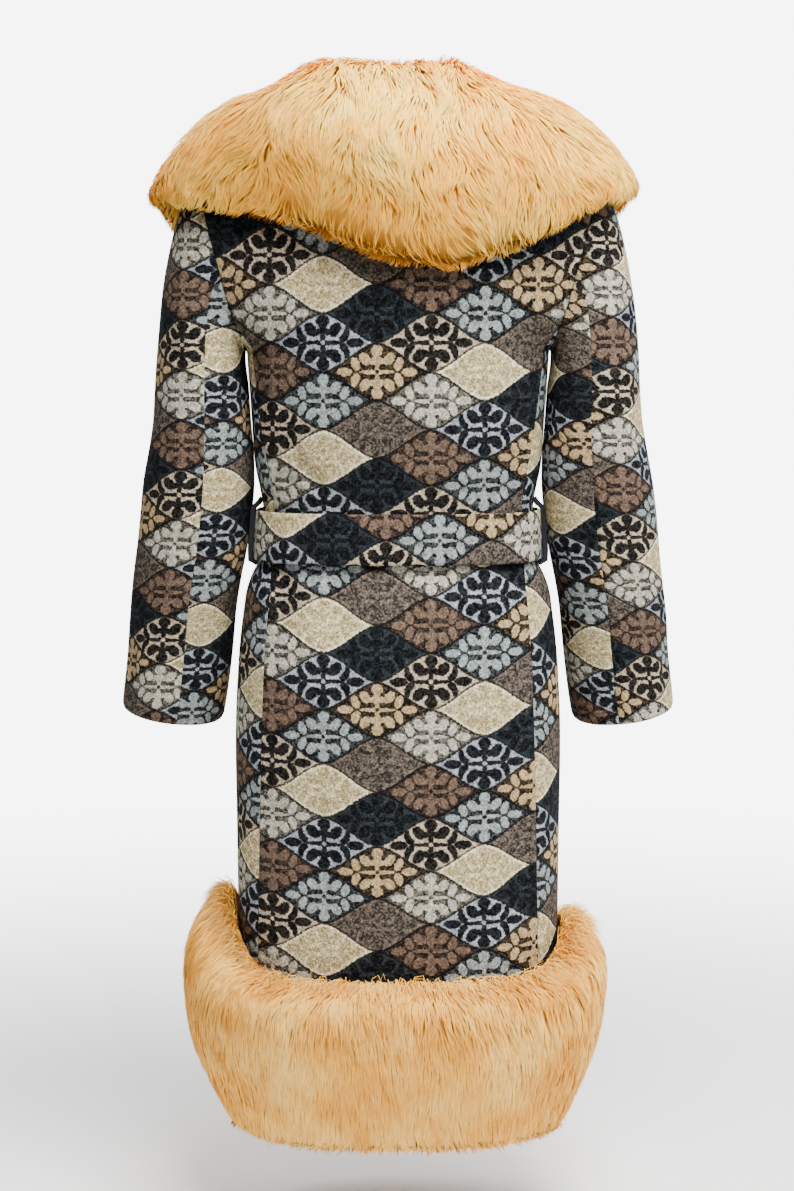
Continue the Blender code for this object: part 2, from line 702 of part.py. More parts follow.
def collar_section(station, side, heights):
    """One section of the fur collar: its underside on the cloth, then its outer face back to the neck."""
    foot, run, up = collar_frame(station)
    fall, lip = collar_fall(station, side), smooth_table(COLLAR_STATIONS, station, 5)
    values = [smooth_table(COLLAR_PROFILE, station, k) for k in range(1, 15)]
    fuller = smooth_table(COLLAR_FULL, station, 1 if side > 0 else 2)
    reaches = [share * fall for share in COLLAR_SHARES]
    under = [(r, h + COLLAR_CLEAR) for r, h in zip(reaches, heights)]
    under[0] = (0.0, 0.0011)
    end_reach, end_height = under[-1]
    profile = list(under)
    profile.append((end_reach + lip * 0.60, end_height + lip * 0.35))
    profile.append((end_reach + lip * 0.75, end_height + lip * 1.10))
    for share, thickness in zip((0.91, 0.74, 0.52, 0.30), values[:4]):
        base = float(np.interp(share * fall, [u[0] for u in under], [u[1] for u in under]))
        profile.append((share * fall + lip * 0.5 * share, base + thickness * fuller))
    for k in range(4, 14, 2):
        profile.append((values[k], values[k + 1] * fuller))
    points = [mirrored(foot + run * r + up * h, side) for r, h in profile]
    settle = COLLAR_SHIFT * (1 - smooth_step(station, 0.25, 0.5))
    for point, share in zip(points[-len(COLLAR_SHIFT_SHARES) :], COLLAR_SHIFT_SHARES):
        point.x += settle * share
    return points


def loft_mesh(sections):
    """Points and faces of a solid through closed sections, capped at both ends."""
    count = len(sections[0])
    points = [p for section in sections for p in section]
    faces = []
    for i in range(len(sections) - 1):
        for j in range(count):
            a, b = i * count + j, i * count + (j + 1) % count
            faces.append((a, b, b + count, a + count))
    last = (len(sections) - 1) * count
    centres = [sum(sections[k], Vector()) / count for k in (0, -1)]
    points += centres
    first_cap, last_cap = len(points) - 2, len(points) - 1
    for j in range(count):
        k = (j + 1) % count
        faces.append((k, j, first_cap))
        faces.append((last + j, last + k, last_cap))
    return points, faces


def fur_collar(material):
    names = [
        "back_centre", "front_left", "front_right", "side_back_left", "side_back_right",
        "sleeve_upper_left", "sleeve_upper_right", "sleeve_under_left", "sleeve_under_right",
    ]
    tree = drape_tree(names)
    stations = [i / COLLAR_STEPS for i in range(COLLAR_STEPS + 1)]
    halves = {}
    for side in (-1, 1):
        heights = rest_heights(tree, COLLAR_STEPS, side)
        halves[side] = [collar_section(s, side, h) for s, h in zip(stations, heights)]
    add_object("fur_collar", *loft_mesh(halves[-1][:0:-1] + halves[1]), material)


def fur_section(around):
    """A section of the hem's fur band at an angle from the centre back, in degrees."""
    angle = math.radians(around)
    sideways = abs(math.sin(angle)) ** 1.5
    steep = abs(math.sin(angle)) ** 8
    left = math.sin(angle) > 0
    out = FUR_OUT_BACK + ((FUR_OUT_LEFT if left else FUR_OUT_RIGHT) - FUR_OUT_BACK) * sideways
    rise = FUR_RISE_BACK + ((FUR_RISE_LEFT if left else FUR_RISE_RIGHT) - FUR_RISE_BACK) * steep
    half_width, back, front = body_size(CLOTH_HEM_Z)
    lateral = math.copysign(abs(math.sin(angle)) ** (2 / BODY_EXPONENT), math.sin(angle))
    inward = math.copysign(abs(math.cos(angle)) ** (2 / BODY_EXPONENT), math.cos(angle))
    depth = back if inward > 0 else front
    foot = Vector((lateral * half_width, inward * depth, 0.0))
    normal = Vector((foot.x / half_width**2, foot.y / depth**2, 0)).normalized()
    height = CLOTH_HEM_Z - FUR_BOTTOM_Z
    inside = (
        (-0.005, FUR_BOTTOM_Z + 0.014),
        (-0.006, CLOTH_HEM_Z - height * 0.45),
        (-CLOTH, CLOTH_HEM_Z - 0.005),
        (-CLOTH, CLOTH_HEM_Z - SEAM_GAP),
        (0.0010, CLOTH_HEM_Z - SEAM_GAP),
        (0.0013, CLOTH_HEM_Z + rise * 0.55),
        (0.0020, CLOTH_HEM_Z + rise * 0.94),
    )
    above = ((rise, 0.14), (rise * 0.91, 0.30), (rise * 0.76, 0.64), (rise * 0.53, 0.86), (rise * 0.27, 0.97))
    below = ((0.04, 1.0), (0.25, 0.95), (0.43, 0.85), (0.57, 0.69), (0.71, 0.52), (0.85, 0.34), (0.97, 0.14))
    profile = inside
    profile += tuple((out * share, CLOTH_HEM_Z + z) for z, share in above)
    profile += tuple((out * share, CLOTH_HEM_Z - height * down) for down, share in below)
    profile += ((0.0, FUR_BOTTOM_Z + 0.002),)
    return [Vector((foot.x + normal.x * r, foot.y + normal.y * r, z)) for r, z in profile]


def fur_hem(material):
    """The band of fur round the hem, parted at the front where the coat opens."""
    half_gap = math.degrees((FUR_END_GAP / 2) / body_size(CLOTH_HEM_Z)[2])
    part = 180 - math.degrees(side_share(FRONT_OVERLAP / body_size(CLOTH_HEM_Z)[0]))
    start, end = part - 360 + half_gap, part - half_gap
    sections = [fur_section(start + (end - start) * i / FUR_SECTIONS) for i in range(FUR_SECTIONS + 1)]
    add_object("fur_hem", *loft_mesh(sections), material)


def make_material(name):
    colour, roughness, metallic = MATERIALS[name]
    material = bpy.data.materials.new(name)
    material.use_nodes = True
    shader = material.node_tree.nodes["Principled BSDF"]
    shader.inputs["Base Color"].default_value = (*colour, 1.0)
    shader.inputs["Roughness"].default_value = roughness
    shader.inputs["Metallic"].default_value = metallic
    return material


def main():
    clear_scene()
    cloth, belt, wool, fur = (make_material(name) for name in MATERIALS)
    body_wall("back_centre", back_centre_places(), True, 1, cloth)
    for side, label in ((1, "left"), (-1, "right")):
        body_wall(f"side_back_{label}", side_back_places(), True, side, cloth)
        body_wall(f"front_{label}", front_places(), False, side, cloth, lap_drop if side > 0 else None)
        sleeve_pieces(side, cloth, label)
        belt_loop(side, label, wool)
    belt_wall(belt)
    fur_collar(fur)
    fur_hem(fur)


main()
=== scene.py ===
import math
import re

import bmesh
import bpy
import numpy as np
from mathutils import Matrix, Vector, noise
from mathutils.bvhtree import BVHTree
from mathutils.kdtree import KDTree


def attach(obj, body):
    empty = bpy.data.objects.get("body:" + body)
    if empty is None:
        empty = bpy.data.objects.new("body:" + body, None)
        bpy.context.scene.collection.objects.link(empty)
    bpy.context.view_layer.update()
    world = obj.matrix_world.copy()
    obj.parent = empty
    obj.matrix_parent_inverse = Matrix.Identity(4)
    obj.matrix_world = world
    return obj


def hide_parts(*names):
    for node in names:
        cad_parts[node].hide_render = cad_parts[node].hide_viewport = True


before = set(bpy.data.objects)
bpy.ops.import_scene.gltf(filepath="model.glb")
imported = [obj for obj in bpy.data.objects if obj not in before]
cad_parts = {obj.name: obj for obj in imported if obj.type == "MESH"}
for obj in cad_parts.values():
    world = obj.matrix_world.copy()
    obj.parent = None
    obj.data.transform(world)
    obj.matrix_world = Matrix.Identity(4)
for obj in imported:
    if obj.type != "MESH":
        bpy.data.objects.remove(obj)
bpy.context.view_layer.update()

# The looks of a fur-trimmed tapestry coat, filled out as if worn. Metres, +Z up, the front faces -Y
# and the wearer's left is +X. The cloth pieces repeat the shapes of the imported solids, finer.

# Cloth
CLOTH = 0.0020
SEAM_GAP = 0.0004
LAP_DROP = 0.0036
LAP_FADE = (0.034, 0.066)
SEAM_TURN = 0.0034
SEAM_ROLL = 0.0010
SEAM_LEAN = 0.0005
# The line of points just inside an edge: how far it is on the way to the next one, and its share of the roll
EDGE_LINE = 0.35
EDGE_DIP = 0.12
# Vertices of a solid's loose triangles that are one
MERGE = 0.00002

# Heights
UNDERARM_Z = -0.190
CLOTH_HEM_Z = -0.846
BELT_TOP_Z = -0.356
BELT_BOTTOM_Z = -0.407

# Shoulders and neck
NECK_SIDE_X = 0.0756
NECK_BACK_Y = 0.062
BODY_EXPONENT = 2.5
CAP_EXPONENT = 2.6
PRINCESS_TOP = 0.165
# Share of the front's width past which its columns are even by the turn, not by the width
FRONT_TURN = 0.45

# The coat's level loops below the underarm, from the hem up: height, half-width, back and front depth
BODY_LEVELS = (
    (-0.830, 0.1680, 0.126, 0.128),
    (-0.770, 0.1690, 0.126, 0.127),
    (-0.700, 0.1695, 0.126, 0.126),
    (-0.630, 0.1705, 0.126, 0.126),
    (-0.588, 0.1708, 0.125, 0.125),
    (-0.546, 0.1690, 0.123, 0.123),
    (-0.504, 0.1664, 0.118, 0.119),
    (-0.452, 0.1602, 0.107, 0.111),
    (-0.432, 0.1565, 0.101, 0.107),
    (-0.410, 0.1463, 0.092, 0.100),
    (-0.385, 0.1420, 0.089, 0.098),
    (-0.352, 0.1408, 0.089, 0.100),
    (-0.315, 0.1480, 0.096, 0.112),
    (-0.262, 0.1520, 0.104, 0.127),
    (-0.225, 0.1545, 0.107, 0.129),
    (-0.190, 0.1570, 0.108, 0.124),
)
BODY_ROWS = (
    -0.846, -0.790, -0.730, -0.665, -0.610, -0.565, -0.525, -0.490, -0.460, -0.440, -0.424,
    -0.410, -0.392, -0.372, -0.352, -0.332, -0.310, -0.285, -0.258, -0.232, -0.210, -0.190,
)

# The yoke above the underarm, and where the armhole and the seams cut it
YOKE_SPREAD = ((0.0, 0.157), (0.10, 0.171), (0.25, 0.191), (0.45, 0.2105), (0.70, 0.231), (1.0, 0.252))
SHOULDER_LINE = ((0.0, 0.046), (0.30, 0.030), (0.55, 0.006), (0.813, -0.021), (1.0, -0.042))
YOKE_LOW_LEVELS = (0.05, 0.11, 0.18)
YOKE_ROWS = 9
ARMHOLE_BACK = (
    (0.0, 1.0), (0.06, 0.970), (0.13, 0.935), (0.25, 0.898), (0.45, 0.858), (0.70, 0.832), (1.0, 0.813),
)
ARMHOLE_FRONT = (
    (0.0, 1.0), (0.06, 0.955), (0.13, 0.905), (0.25, 0.848), (0.45, 0.806), (0.70, 0.798), (1.0, 0.813),
)
PRINCESS_SEAM = (
    (-0.830, 0.146), (-0.650, 0.142), (-0.500, 0.137), (-0.420, 0.131), (-0.350, 0.128),
    (-0.285, 0.138), (-0.240, 0.144), (-0.190, 0.150),
)
FRONT_EDGE = (
    (-0.830, -0.030), (-0.460, -0.030), (-0.400, -0.026), (-0.350, -0.014), (-0.300, 0.000),
    (-0.190, 0.0265), (-0.100, 0.048), (0.000, 0.070), (0.030, 0.0756),
)

# The sleeve below the cap: height, centre x and y, half-width and half-depth
SLEEVE_SECTIONS = (
    (-0.573, 0.2405, -0.045, 0.0545, 0.054),
    (-0.546, 0.2370, -0.040, 0.0555, 0.0545),
    (-0.504, 0.2315, -0.031, 0.0557, 0.055),
    (-0.441, 0.2243, -0.018, 0.0558, 0.056),
    (-0.378, 0.2138, -0.007, 0.0575, 0.058),
    (-0.315, 0.2068, 0.001, 0.0572, 0.061),
    (-0.270, 0.2042, 0.002, 0.0516, 0.065),
    (-0.235, 0.2038, 0.001, 0.0488, 0.068),
)
CAP_STEPS = 6
# How the cap leaves the armhole, across it and outward, and how strongly it leaves and arrives
CAP_ACROSS = 0.75
CAP_OUT = 0.45
CAP_LEAVE = 0.42
CAP_ARRIVE = 0.90
SLEEVE_ROWS = 11
BACK_SEAM_ANGLE = 108.0
FRONT_SEAM_ANGLE = 118.0

# Belt and loops
BELT_THICKNESS = 0.0036
BELT_TOP = (0.1458, 0.0945, 0.1060)
BELT_BOTTOM = (0.1486, 0.0970, 0.1062)
BELT_LAP = 0.085
BELT_TIP = 0.030
BELT_SECTIONS = 84
# How far the belt's cloth lies inside its solid, and its repeat: column, row, x and height of a medallion
BELT_INSET = 0.0004
BELT_PHASE = (3.0, 3.5, 0.0121, -0.3538)
BELT_ROW_PITCH = 0.0565
BELT_RIPPLE = (20.0, 0.035, 0.0009)
LOOP_SWELL = 0.0026

# The cloth's repeat: how far apart its columns and rows of medallions are on the body
COLUMN_PITCH = 0.0545
ROW_PITCH = 0.0560
SLEEVE_RADIUS = 0.058

# Where the medallions lie: heights of some rows down the centre back
BACK_ROWS = (
    (-0.860, 13.6), (-0.7982, 12.5), (-0.6344, 9.5), (-0.467, 6.5),
    (-0.2986, 3.5), (-0.1241, 0.5), (0.04, -2.3),
)
# Where its first column is across the back, and how far the columns follow the curve of the cloth
BACK_START_X = 0.1300
BACK_ARC_SHARE = 0.25


def table_value(rows, at, column=1):
    """A value of a table at a place between its rows, on a smooth curve with no overshoot."""
    xs = np.array([row[0] for row in rows], float)
    ys = np.array([row[column] for row in rows], float)
    slopes = np.diff(ys) / np.diff(xs)
    tangents = np.concatenate([[slopes[0]], (slopes[:-1] + slopes[1:]) / 2, [slopes[-1]]])
    tangents[np.concatenate([[False], slopes[:-1] * slopes[1:] <= 0, [False]])] = 0.0
    at = np.clip(at, xs[0], xs[-1])
    i = np.clip(np.searchsorted(xs, at) - 1, 0, len(xs) - 2)
    width = xs[i + 1] - xs[i]
    t = (at - xs[i]) / width
    return (
        (2 * t**3 - 3 * t**2 + 1) * ys[i]
        + (t**3 - 2 * t**2 + t) * width * tangents[i]
        + (3 * t**2 - 2 * t**3) * ys[i + 1]
        + (t**3 - t**2) * width * tangents[i + 1]
    )


def value_at(rows, at, column=1):
    return float(table_value(rows, at, column))


def ease(value, low, high):
    t = np.clip((value - low) / (high - low), 0.0, 1.0)
    return t * t * (3 - 2 * t)


def side_angle(share):
    """The angle round the body of a share of its half-width: 0 at the centre line, 90 degrees at the side."""
    return math.copysign(math.asin(min(abs(share), 1.0) ** (BODY_EXPONENT / 2)), share)


def rounded(value):
    """A sine or cosine made fuller, as the body's level loops are."""
    return math.copysign(abs(value) ** (2 / BODY_EXPONENT), value)


def body_size(z):
    return [value_at(BODY_LEVELS, z, column) for column in (1, 2, 3)]


def torso_point(back, angle, level):
    """A point of the outer face. level is metres below the underarm, or the share of the way up the yoke."""
    lateral = rounded(math.sin(angle))
    inward = abs(rounded(math.cos(angle)))
    half_width, back_depth, front_depth = body_size(UNDERARM_Z + min(level, 0.0))
    depth = back_depth if back else -front_depth
    if level <= 0:
        return Vector((lateral * half_width, inward * depth, UNDERARM_Z + level))
    spread = value_at(YOKE_SPREAD, level)
    top = value_at(SHOULDER_LINE, abs(lateral))
    cap = max(1 - level**CAP_EXPONENT, 0.0) ** (1 / CAP_EXPONENT)
    return Vector((lateral * spread, inward * depth * cap, UNDERARM_Z + level * (top - UNDERARM_Z)))


def surface_normal(back, angle, level):
    step = 0.012
    high = min(level + step, 1.0 if level > 0 else 0.0)
    low = max(level - step, 0.0) if level > 0 else level - step
    across = torso_point(back, angle + step, level) - torso_point(back, angle - step, level)
    along = torso_point(back, angle, high) - torso_point(back, angle, low)
    normal = across.cross(along)
    if level > 0.9999:
        normal.y = 0.0
        return normal.normalized() if normal.z > 0 else -normal.normalized()
    return -normal.normalized() if back else normal.normalized()


def half_gap(back, angle, level):
    """Half the gap of a seam there, as an angle."""
    step = 0.002
    span = (torso_point(back, angle + step, level) - torso_point(back, angle - step, level)).length
    return SEAM_GAP * step / max(span, 1e-6)


def body_levels():
    return [z - UNDERARM_Z for z in BODY_ROWS]


def yoke_levels():
    turns = [math.sin(math.pi / 2 * row / YOKE_ROWS) for row in range(1, YOKE_ROWS + 1)]
    return [*YOKE_LOW_LEVELS, *(turn ** (2 / CAP_EXPONENT) for turn in turns)]


def princess_angle(level):
    z = UNDERARM_Z + min(level, 0.0)
    start = side_angle(table_value(PRINCESS_SEAM, z) / body_size(z)[0])
    end = side_angle(table_value(ARMHOLE_BACK, PRINCESS_TOP))
    return start + (end - start) * max(level, 0.0) / PRINCESS_TOP


def armhole_angle(back, level):
    return side_angle(table_value(ARMHOLE_BACK if back else ARMHOLE_FRONT, level))


def back_neck_level(angle):
    lateral = abs(rounded(math.sin(angle)))
    neck = NECK_SIDE_X / value_at(YOKE_SPREAD, 1.0)
    if lateral >= neck:
        return 1.0
    depth = NECK_BACK_Y * math.sqrt(1 - (lateral / neck) ** 2)
    full = body_size(UNDERARM_Z)[1] * abs(rounded(math.cos(angle)))
    return (1 - (depth / full) ** CAP_EXPONENT) ** (1 / CAP_EXPONENT)


def back_centre_places(columns=14):
    places = []
    for level in body_levels() + yoke_levels():
        edge = princess_angle(level) if level < PRINCESS_TOP else armhole_angle(True, level)
        edge -= half_gap(True, edge, level)
        share = rounded(math.sin(edge))
        line = []
        for j in range(columns + 1):
            angle = side_angle(share * (2 * j / columns - 1))
            top = back_neck_level(angle)
            line.append((angle, level if level <= 0.7 else 0.7 + (level - 0.7) * (top - 0.7) / 0.3))
        places.append(line)
    return places


def side_back_levels():
    upper = [level for level in yoke_levels() if level < PRINCESS_TOP - 0.03]
    return body_levels() + upper + [PRINCESS_TOP - 0.02]


def side_back_places(columns=6):
    places = []
    for level in side_back_levels():
        inner = princess_angle(level)
        inner += half_gap(True, inner, level)
        outer = math.pi / 2 if level <= 0 else armhole_angle(True, level)
        outer -= half_gap(True, math.pi / 2 - 0.01, level)
        places.append([(inner + (outer - inner) * j / columns, level) for j in range(columns + 1)])
    return places


def front_edge_angle(level):
    top = value_at(SHOULDER_LINE, 0.2)
    z = UNDERARM_Z + (level if level <= 0 else level * (top - UNDERARM_Z))
    x = value_at(FRONT_EDGE, z)
    spread = body_size(z)[0] if level <= 0 else value_at(YOKE_SPREAD, level)
    return side_angle(x / spread)


def front_places(columns=11):
    places = []
    for level in body_levels() + yoke_levels():
        inner = front_edge_angle(level)
        outer = math.pi / 2 if level <= 0 else armhole_angle(False, level)
        outer -= half_gap(False, math.pi / 2 - 0.01, level)
        first, last = rounded(math.sin(inner)), rounded(math.sin(outer))
        line = []
        for j in range(columns + 1):
            t = j / columns
            by_width = side_angle(first + (last - first) * t)
            by_turn = inner + (outer - inner) * t
            line.append((by_width + (by_turn - by_width) * float(ease(t, FRONT_TURN, 1.0)), level))
        places.append(line)
    return places


def body_grid(places, back, side, lapped=False):
    grid = []
    for line in places:
        points = []
        for angle, level in line:
            point = torso_point(back, angle, level)
            if level > 0.9999:
                point.y = SEAM_GAP / 2 if back else -SEAM_GAP / 2
            if lapped:
                point.y += LAP_DROP * (1 - float(ease(point.x, *LAP_FADE)))
            points.append((point.x * side, point.y, point.z))
        grid.append(points)
    return np.array(grid)


def armhole_loop():
    """The left armhole, from the shoulder tip down the back to the underarm and up the front."""
    back = [(True, level) for level in reversed(yoke_levels()) if level > PRINCESS_TOP - 0.02]
    back += [(True, level) for level in reversed(side_back_levels()) if level > 0]
    front = [(False, level) for level in yoke_levels()[:-1]]
    places = []
    for is_back, level in back + [(True, 0.0)] + front:
        places.append((is_back, math.pi / 2 if level == 0 else armhole_angle(is_back, level), level))
    points = [torso_point(*place) for place in places]
    target = sum(points, Vector()) / len(points) + Vector((0.1, 0, 0))
    entries = []
    for i, (point, place) in enumerate(zip(points, places)):
        tangent = points[(i + 1) % len(points)] - points[i - 1]
        across = tangent.cross(surface_normal(*place)).normalized()
        if across.dot(target - point) < 0:
            across = -across
        entries.append((point, across))
    return entries


def loop_angles(points):
    """The angle round the sleeve of each armhole point: 0 outside, 90 at the back, 180 inside."""
    lengths = [0.0]
    for a, b in zip(points, points[1:]):
        lengths.append(lengths[-1] + (b - a).length)
    low = min(range(len(points)), key=lambda i: points[i].z)
    total = lengths[-1] + (points[0] - points[-1]).length
    angles = []
    for i, reach in enumerate(lengths):
        if i <= low:
            angles.append(180.0 * reach / lengths[low])
        else:
            angles.append(180.0 + 180.0 * (reach - lengths[low]) / (total - lengths[low]))
    return angles


def sleeve_centre(z):
    return Vector((value_at(SLEEVE_SECTIONS, z, 1), value_at(SLEEVE_SECTIONS, z, 2), z))


def sleeve_frame(z):
    step = 0.01
    low, high = max(z - step, SLEEVE_SECTIONS[0][0]), min(z + step, SLEEVE_SECTIONS[-1][0])
    down = (sleeve_centre(low) - sleeve_centre(high)).normalized()
    outside = (Vector((1, 0, 0)) - down * down.x).normalized()
    behind = down.cross(outside)
    return sleeve_centre(z), outside, behind if behind.y > 0 else -behind, down


def sleeve_point(angle_deg, z):
    centre, outside, behind, _ = sleeve_frame(z)
    half_width, half_depth = (value_at(SLEEVE_SECTIONS, z, column) for column in (3, 4))
    angle = math.radians(angle_deg)
    return centre + outside * math.cos(angle) * half_width + behind * math.sin(angle) * half_depth


def sleeve_rings():
    """The whole left sleeve: rows from the armhole to the cuff, columns round it from the shoulder tip."""
    entries = armhole_loop()
    angles = loop_angles([entry[0] for entry in entries])
    top_z, bottom_z = SLEEVE_SECTIONS[-1][0], SLEEVE_SECTIONS[0][0]
    down = sleeve_frame(top_z)[3]
    rows = []
    for step in range(CAP_STEPS):
        t = step / CAP_STEPS
        line = []
        for (point, across), angle in zip(entries, angles):
            target = sleeve_point(angle, top_z)
            start = point + across * SEAM_GAP * 1.5
            reach = (target - start).length
            leave = (across * CAP_ACROSS + Vector((CAP_OUT, 0, 0))).normalized() * reach * CAP_LEAVE
            arrive = down * reach * CAP_ARRIVE
            line.append(
                start * (2 * t**3 - 3 * t**2 + 1)
                + leave * (t**3 - 2 * t**2 + t)
                + target * (3 * t**2 - 2 * t**3)
                + arrive * (t**3 - t**2)
            )
        rows.append(line)
    for step in range(SLEEVE_ROWS + 1):
        z = top_z + (bottom_z - top_z) * step / SLEEVE_ROWS
        rows.append([sleeve_point(angle, z) for angle in angles])
    return rows, angles


def sleeve_grid(rows, angles, upper, side):
    count = len(angles)
    back_seam = min(range(count), key=lambda j: abs(angles[j] - BACK_SEAM_ANGLE))
    front_seam = min(range(count), key=lambda j: abs(angles[j] - (360 - FRONT_SEAM_ANGLE)))
    columns = range(back_seam, front_seam + 1)
    if upper:
        columns = [j % count for j in range(front_seam, count + back_seam + 1)]
    grid = []
    for row in rows:
        line = [row[j].copy() for j in columns]
        line[0] += (line[1] - line[0]).normalized() * SEAM_GAP * 0.8
        line[-1] += (line[-2] - line[-1]).normalized() * SEAM_GAP * 0.8
        grid.append([(p.x * side, p.y, p.z) for p in line])
    return np.array(grid)


def belt_point(around, share, out):
    """A point of the belt, by degrees round from the centre back to the left and share up its width."""
    sizes = [low + (high - low) * share for low, high in zip(BELT_BOTTOM, BELT_TOP)]
    angle = math.radians(around)
    lateral, inward = rounded(math.sin(angle)), rounded(math.cos(angle))
    depth = sizes[1] if inward > 0 else sizes[2]
    z = BELT_BOTTOM_Z + (BELT_TOP_Z - BELT_BOTTOM_Z) * share
    point = Vector((lateral * sizes[0], inward * depth, z))
    normal = Vector((point.x / sizes[0] ** 2, point.y / depth**2, 0)).normalized()
    return point + normal * out


# Grids of points


def unit(vectors):
    return vectors / (np.linalg.norm(vectors, axis=-1, keepdims=True) + 1e-9)


def refined(grid, rows_by, columns_by):
    """A finer grid on smooth curves through the points of a coarse one."""
    fine = np.array(grid, float)
    for axis, by in ((0, rows_by), (1, columns_by)):
        fine = np.moveaxis(fine, axis, 0)
        count = len(fine)
        ends = np.concatenate([[2 * fine[0] - fine[1]], fine, [2 * fine[-1] - fine[-2]]])
        at = np.linspace(0, count - 1, (count - 1) * by + 1)
        i = np.minimum(at.astype(int), count - 2)
        t = (at - i)[:, None, None]
        a, b, c, d = (ends[i + k] for k in range(4))
        fine = b + 0.5 * t * (c - a + t * (2 * a - 5 * b + 4 * c - d + t * (3 * (b - c) + d - a)))
        fine = np.moveaxis(fine, 0, axis)
    return fine


def grid_normals(grid, middle):
    """Outward normals: middle gives a point inside the garment for each point of the grid."""
    normals = unit(np.cross(np.gradient(grid, axis=0), np.gradient(grid, axis=1)))
    outward = np.sum(normals * (grid - middle(grid)), axis=2).mean()
    return normals if outward > 0 else -normals


def body_middle(grid):
    middle = np.zeros_like(grid)
    middle[..., 2] = np.minimum(grid[..., 2], -0.25)
    return middle


def sleeve_middle(side):
    def middle(grid):
        z = np.clip(grid[..., 2], SLEEVE_SECTIONS[0][0], SLEEVE_SECTIONS[-1][0])
        x, y = (table_value(SLEEVE_SECTIONS, z, column) for column in (1, 2))
        return np.stack([side * x, y, z], axis=2)

    return middle


# Where the body lies against a sleeve: half-widths and heights between which that starts
BESIDE_ROLL = (0.125, 0.140, -0.35, -0.33)
BESIDE_CREASES = (0.122, 0.140, -0.36, -0.32)
ROLL_LOST = 0.85


def beside_sleeve(grid, from_x, to_x, low_z, high_z):
    """1 where the body lies against a sleeve and 0 away from it."""
    return ease(np.abs(grid[..., 0]), from_x, to_x) * ease(grid[..., 2], low_z, high_z)


def turned_edge(edge, inner, normals):
    """An edge's three lines: its allowance, which leans over the seam, its roll, and one inside."""
    beside = edge + (inner - edge) * EDGE_LINE
    turned = edge - normals * SEAM_TURN + unit(edge - inner) * SEAM_LEAN
    return [turned, edge - normals * SEAM_ROLL, beside - normals * SEAM_ROLL * EDGE_DIP]


def rolled(grid, normals):
    """The grid with each edge rolled and turned in, less so against the sleeves."""
    beside = beside_sleeve(grid, *BESIDE_ROLL) * (grid[..., 2] < UNDERARM_Z)
    normals = normals * (1 - ROLL_LOST * beside)[..., None]
    for axis in (0, 1):
        g, n = np.moveaxis(grid, axis, 0), np.moveaxis(normals, axis, 0)
        g = np.concatenate([turned_edge(g[0], g[1], n[0]), g[1:-1], turned_edge(g[-1], g[-2], n[-1])[::-1]])
        n = np.concatenate([n[:1]] * 3 + [n[1:-1]] + [n[-1:]] * 3)
        grid, normals = np.moveaxis(g, 0, axis), np.moveaxis(n, 0, axis)
    return grid


# Where the cloth's repeat lies on each piece: columns to the right and rows down, as seen from behind


def row_arc(grid):
    """The way along each row of the grid from its first column."""
    steps = np.linalg.norm(np.diff(grid, axis=1), axis=2)
    return np.concatenate([np.zeros((len(grid), 1)), np.cumsum(steps, axis=1)], axis=1)


def level_arc(grid):
    """The way along each row of the grid from its middle column."""
    arc = row_arc(grid)
    return arc - arc[:, [arc.shape[1] // 2]]


def back_weave(grid):
    x = grid[..., 0]
    arc = np.abs(level_arc(grid)) * np.sign(x)
    along = x + BACK_ARC_SHARE * (arc - x)
    column = (BACK_START_X - along) / COLUMN_PITCH
    return np.stack([column, table_value(BACK_ROWS, grid[..., 2])], axis=2)


def arc_weave(start_column, start_z):
    """Columns by the way round from one edge, at the row's height: for pieces that curve to the side."""

    def weave(grid):
        toward = 1 if grid[0, -1, 0] < grid[0, 0, 0] else -1
        if grid[..., 1].mean() < 0:
            toward = -toward
        column = start_column + toward * row_arc(grid) / COLUMN_PITCH
        return np.stack([column, 0.5 + (start_z - grid[..., 2]) / ROW_PITCH], axis=2)

    return weave


# The repeat on each sleeve piece: column at an angle, row at a height, pitch of the rows, turn of the grain
SLEEVE_PHASES = {
    ("upper", 1): (0.0, 75.0, 0.0, -0.185, 0.0510, 0.0),
    ("under", 1): (1.0, 115.0, 0.5, -0.333, 0.0475, 0.0),
    ("upper", -1): (3.0, 72.5, 1.5, -0.232, 0.0502, 48.0),
    ("under", -1): (1.0, 143.0, 0.5, -0.357, 0.0477, 210.0),
}


def sleeve_turn(grid, side):
    """The angle of points round their sleeve's middle line, in degrees: 0 outside and 90 at the back."""
    middle = sleeve_middle(side)(grid)
    turn = np.degrees(np.arctan2(grid[..., 1] - middle[..., 1], side * (grid[..., 0] - middle[..., 0])))
    return np.where(turn < -FRONT_SEAM_ANGLE, turn + 360.0, turn)


def sleeve_weave(side, column, angle, row, z, row_pitch, tilt):
    """Columns by the angle round the sleeve. tilt is the grain's turn, in degrees a metre."""

    def weave(grid):
        offset = sleeve_turn(grid, side) - angle - tilt * (grid[..., 2] - z)
        columns = column + side * np.radians(offset) * SLEEVE_RADIUS / COLUMN_PITCH
        return np.stack([columns, row + (z - grid[..., 2]) / row_pitch], axis=2)

    return weave


# Creases, in millimetres: the place of each end as (across, height), half-width, depth and bow


def crease_depths(across, height, creases):
    """The sum of soft troughs and ridges at points of a piece, by the way across it and the height."""
    total = np.zeros_like(height)
    for crease in creases:
        x0, z0, x1, z1, half_width, depth, bow = (value / 1000 for value in crease)
        dx, dz = x1 - x0, z1 - z0
        length = math.hypot(dx, dz)
        t = ((across - x0) * dx + (height - z0) * dz) / length**2
        away = ((height - z0) * dx - (across - x0) * dz) / length
        away = away - bow * np.sin(np.pi * np.clip(t, 0, 1))
        fade = ease(t, -0.12, 0.35) * (1 - ease(t, 0.6, 1.12))
        total += depth * np.exp(-((away / half_width) ** 2)) * fade
    return total


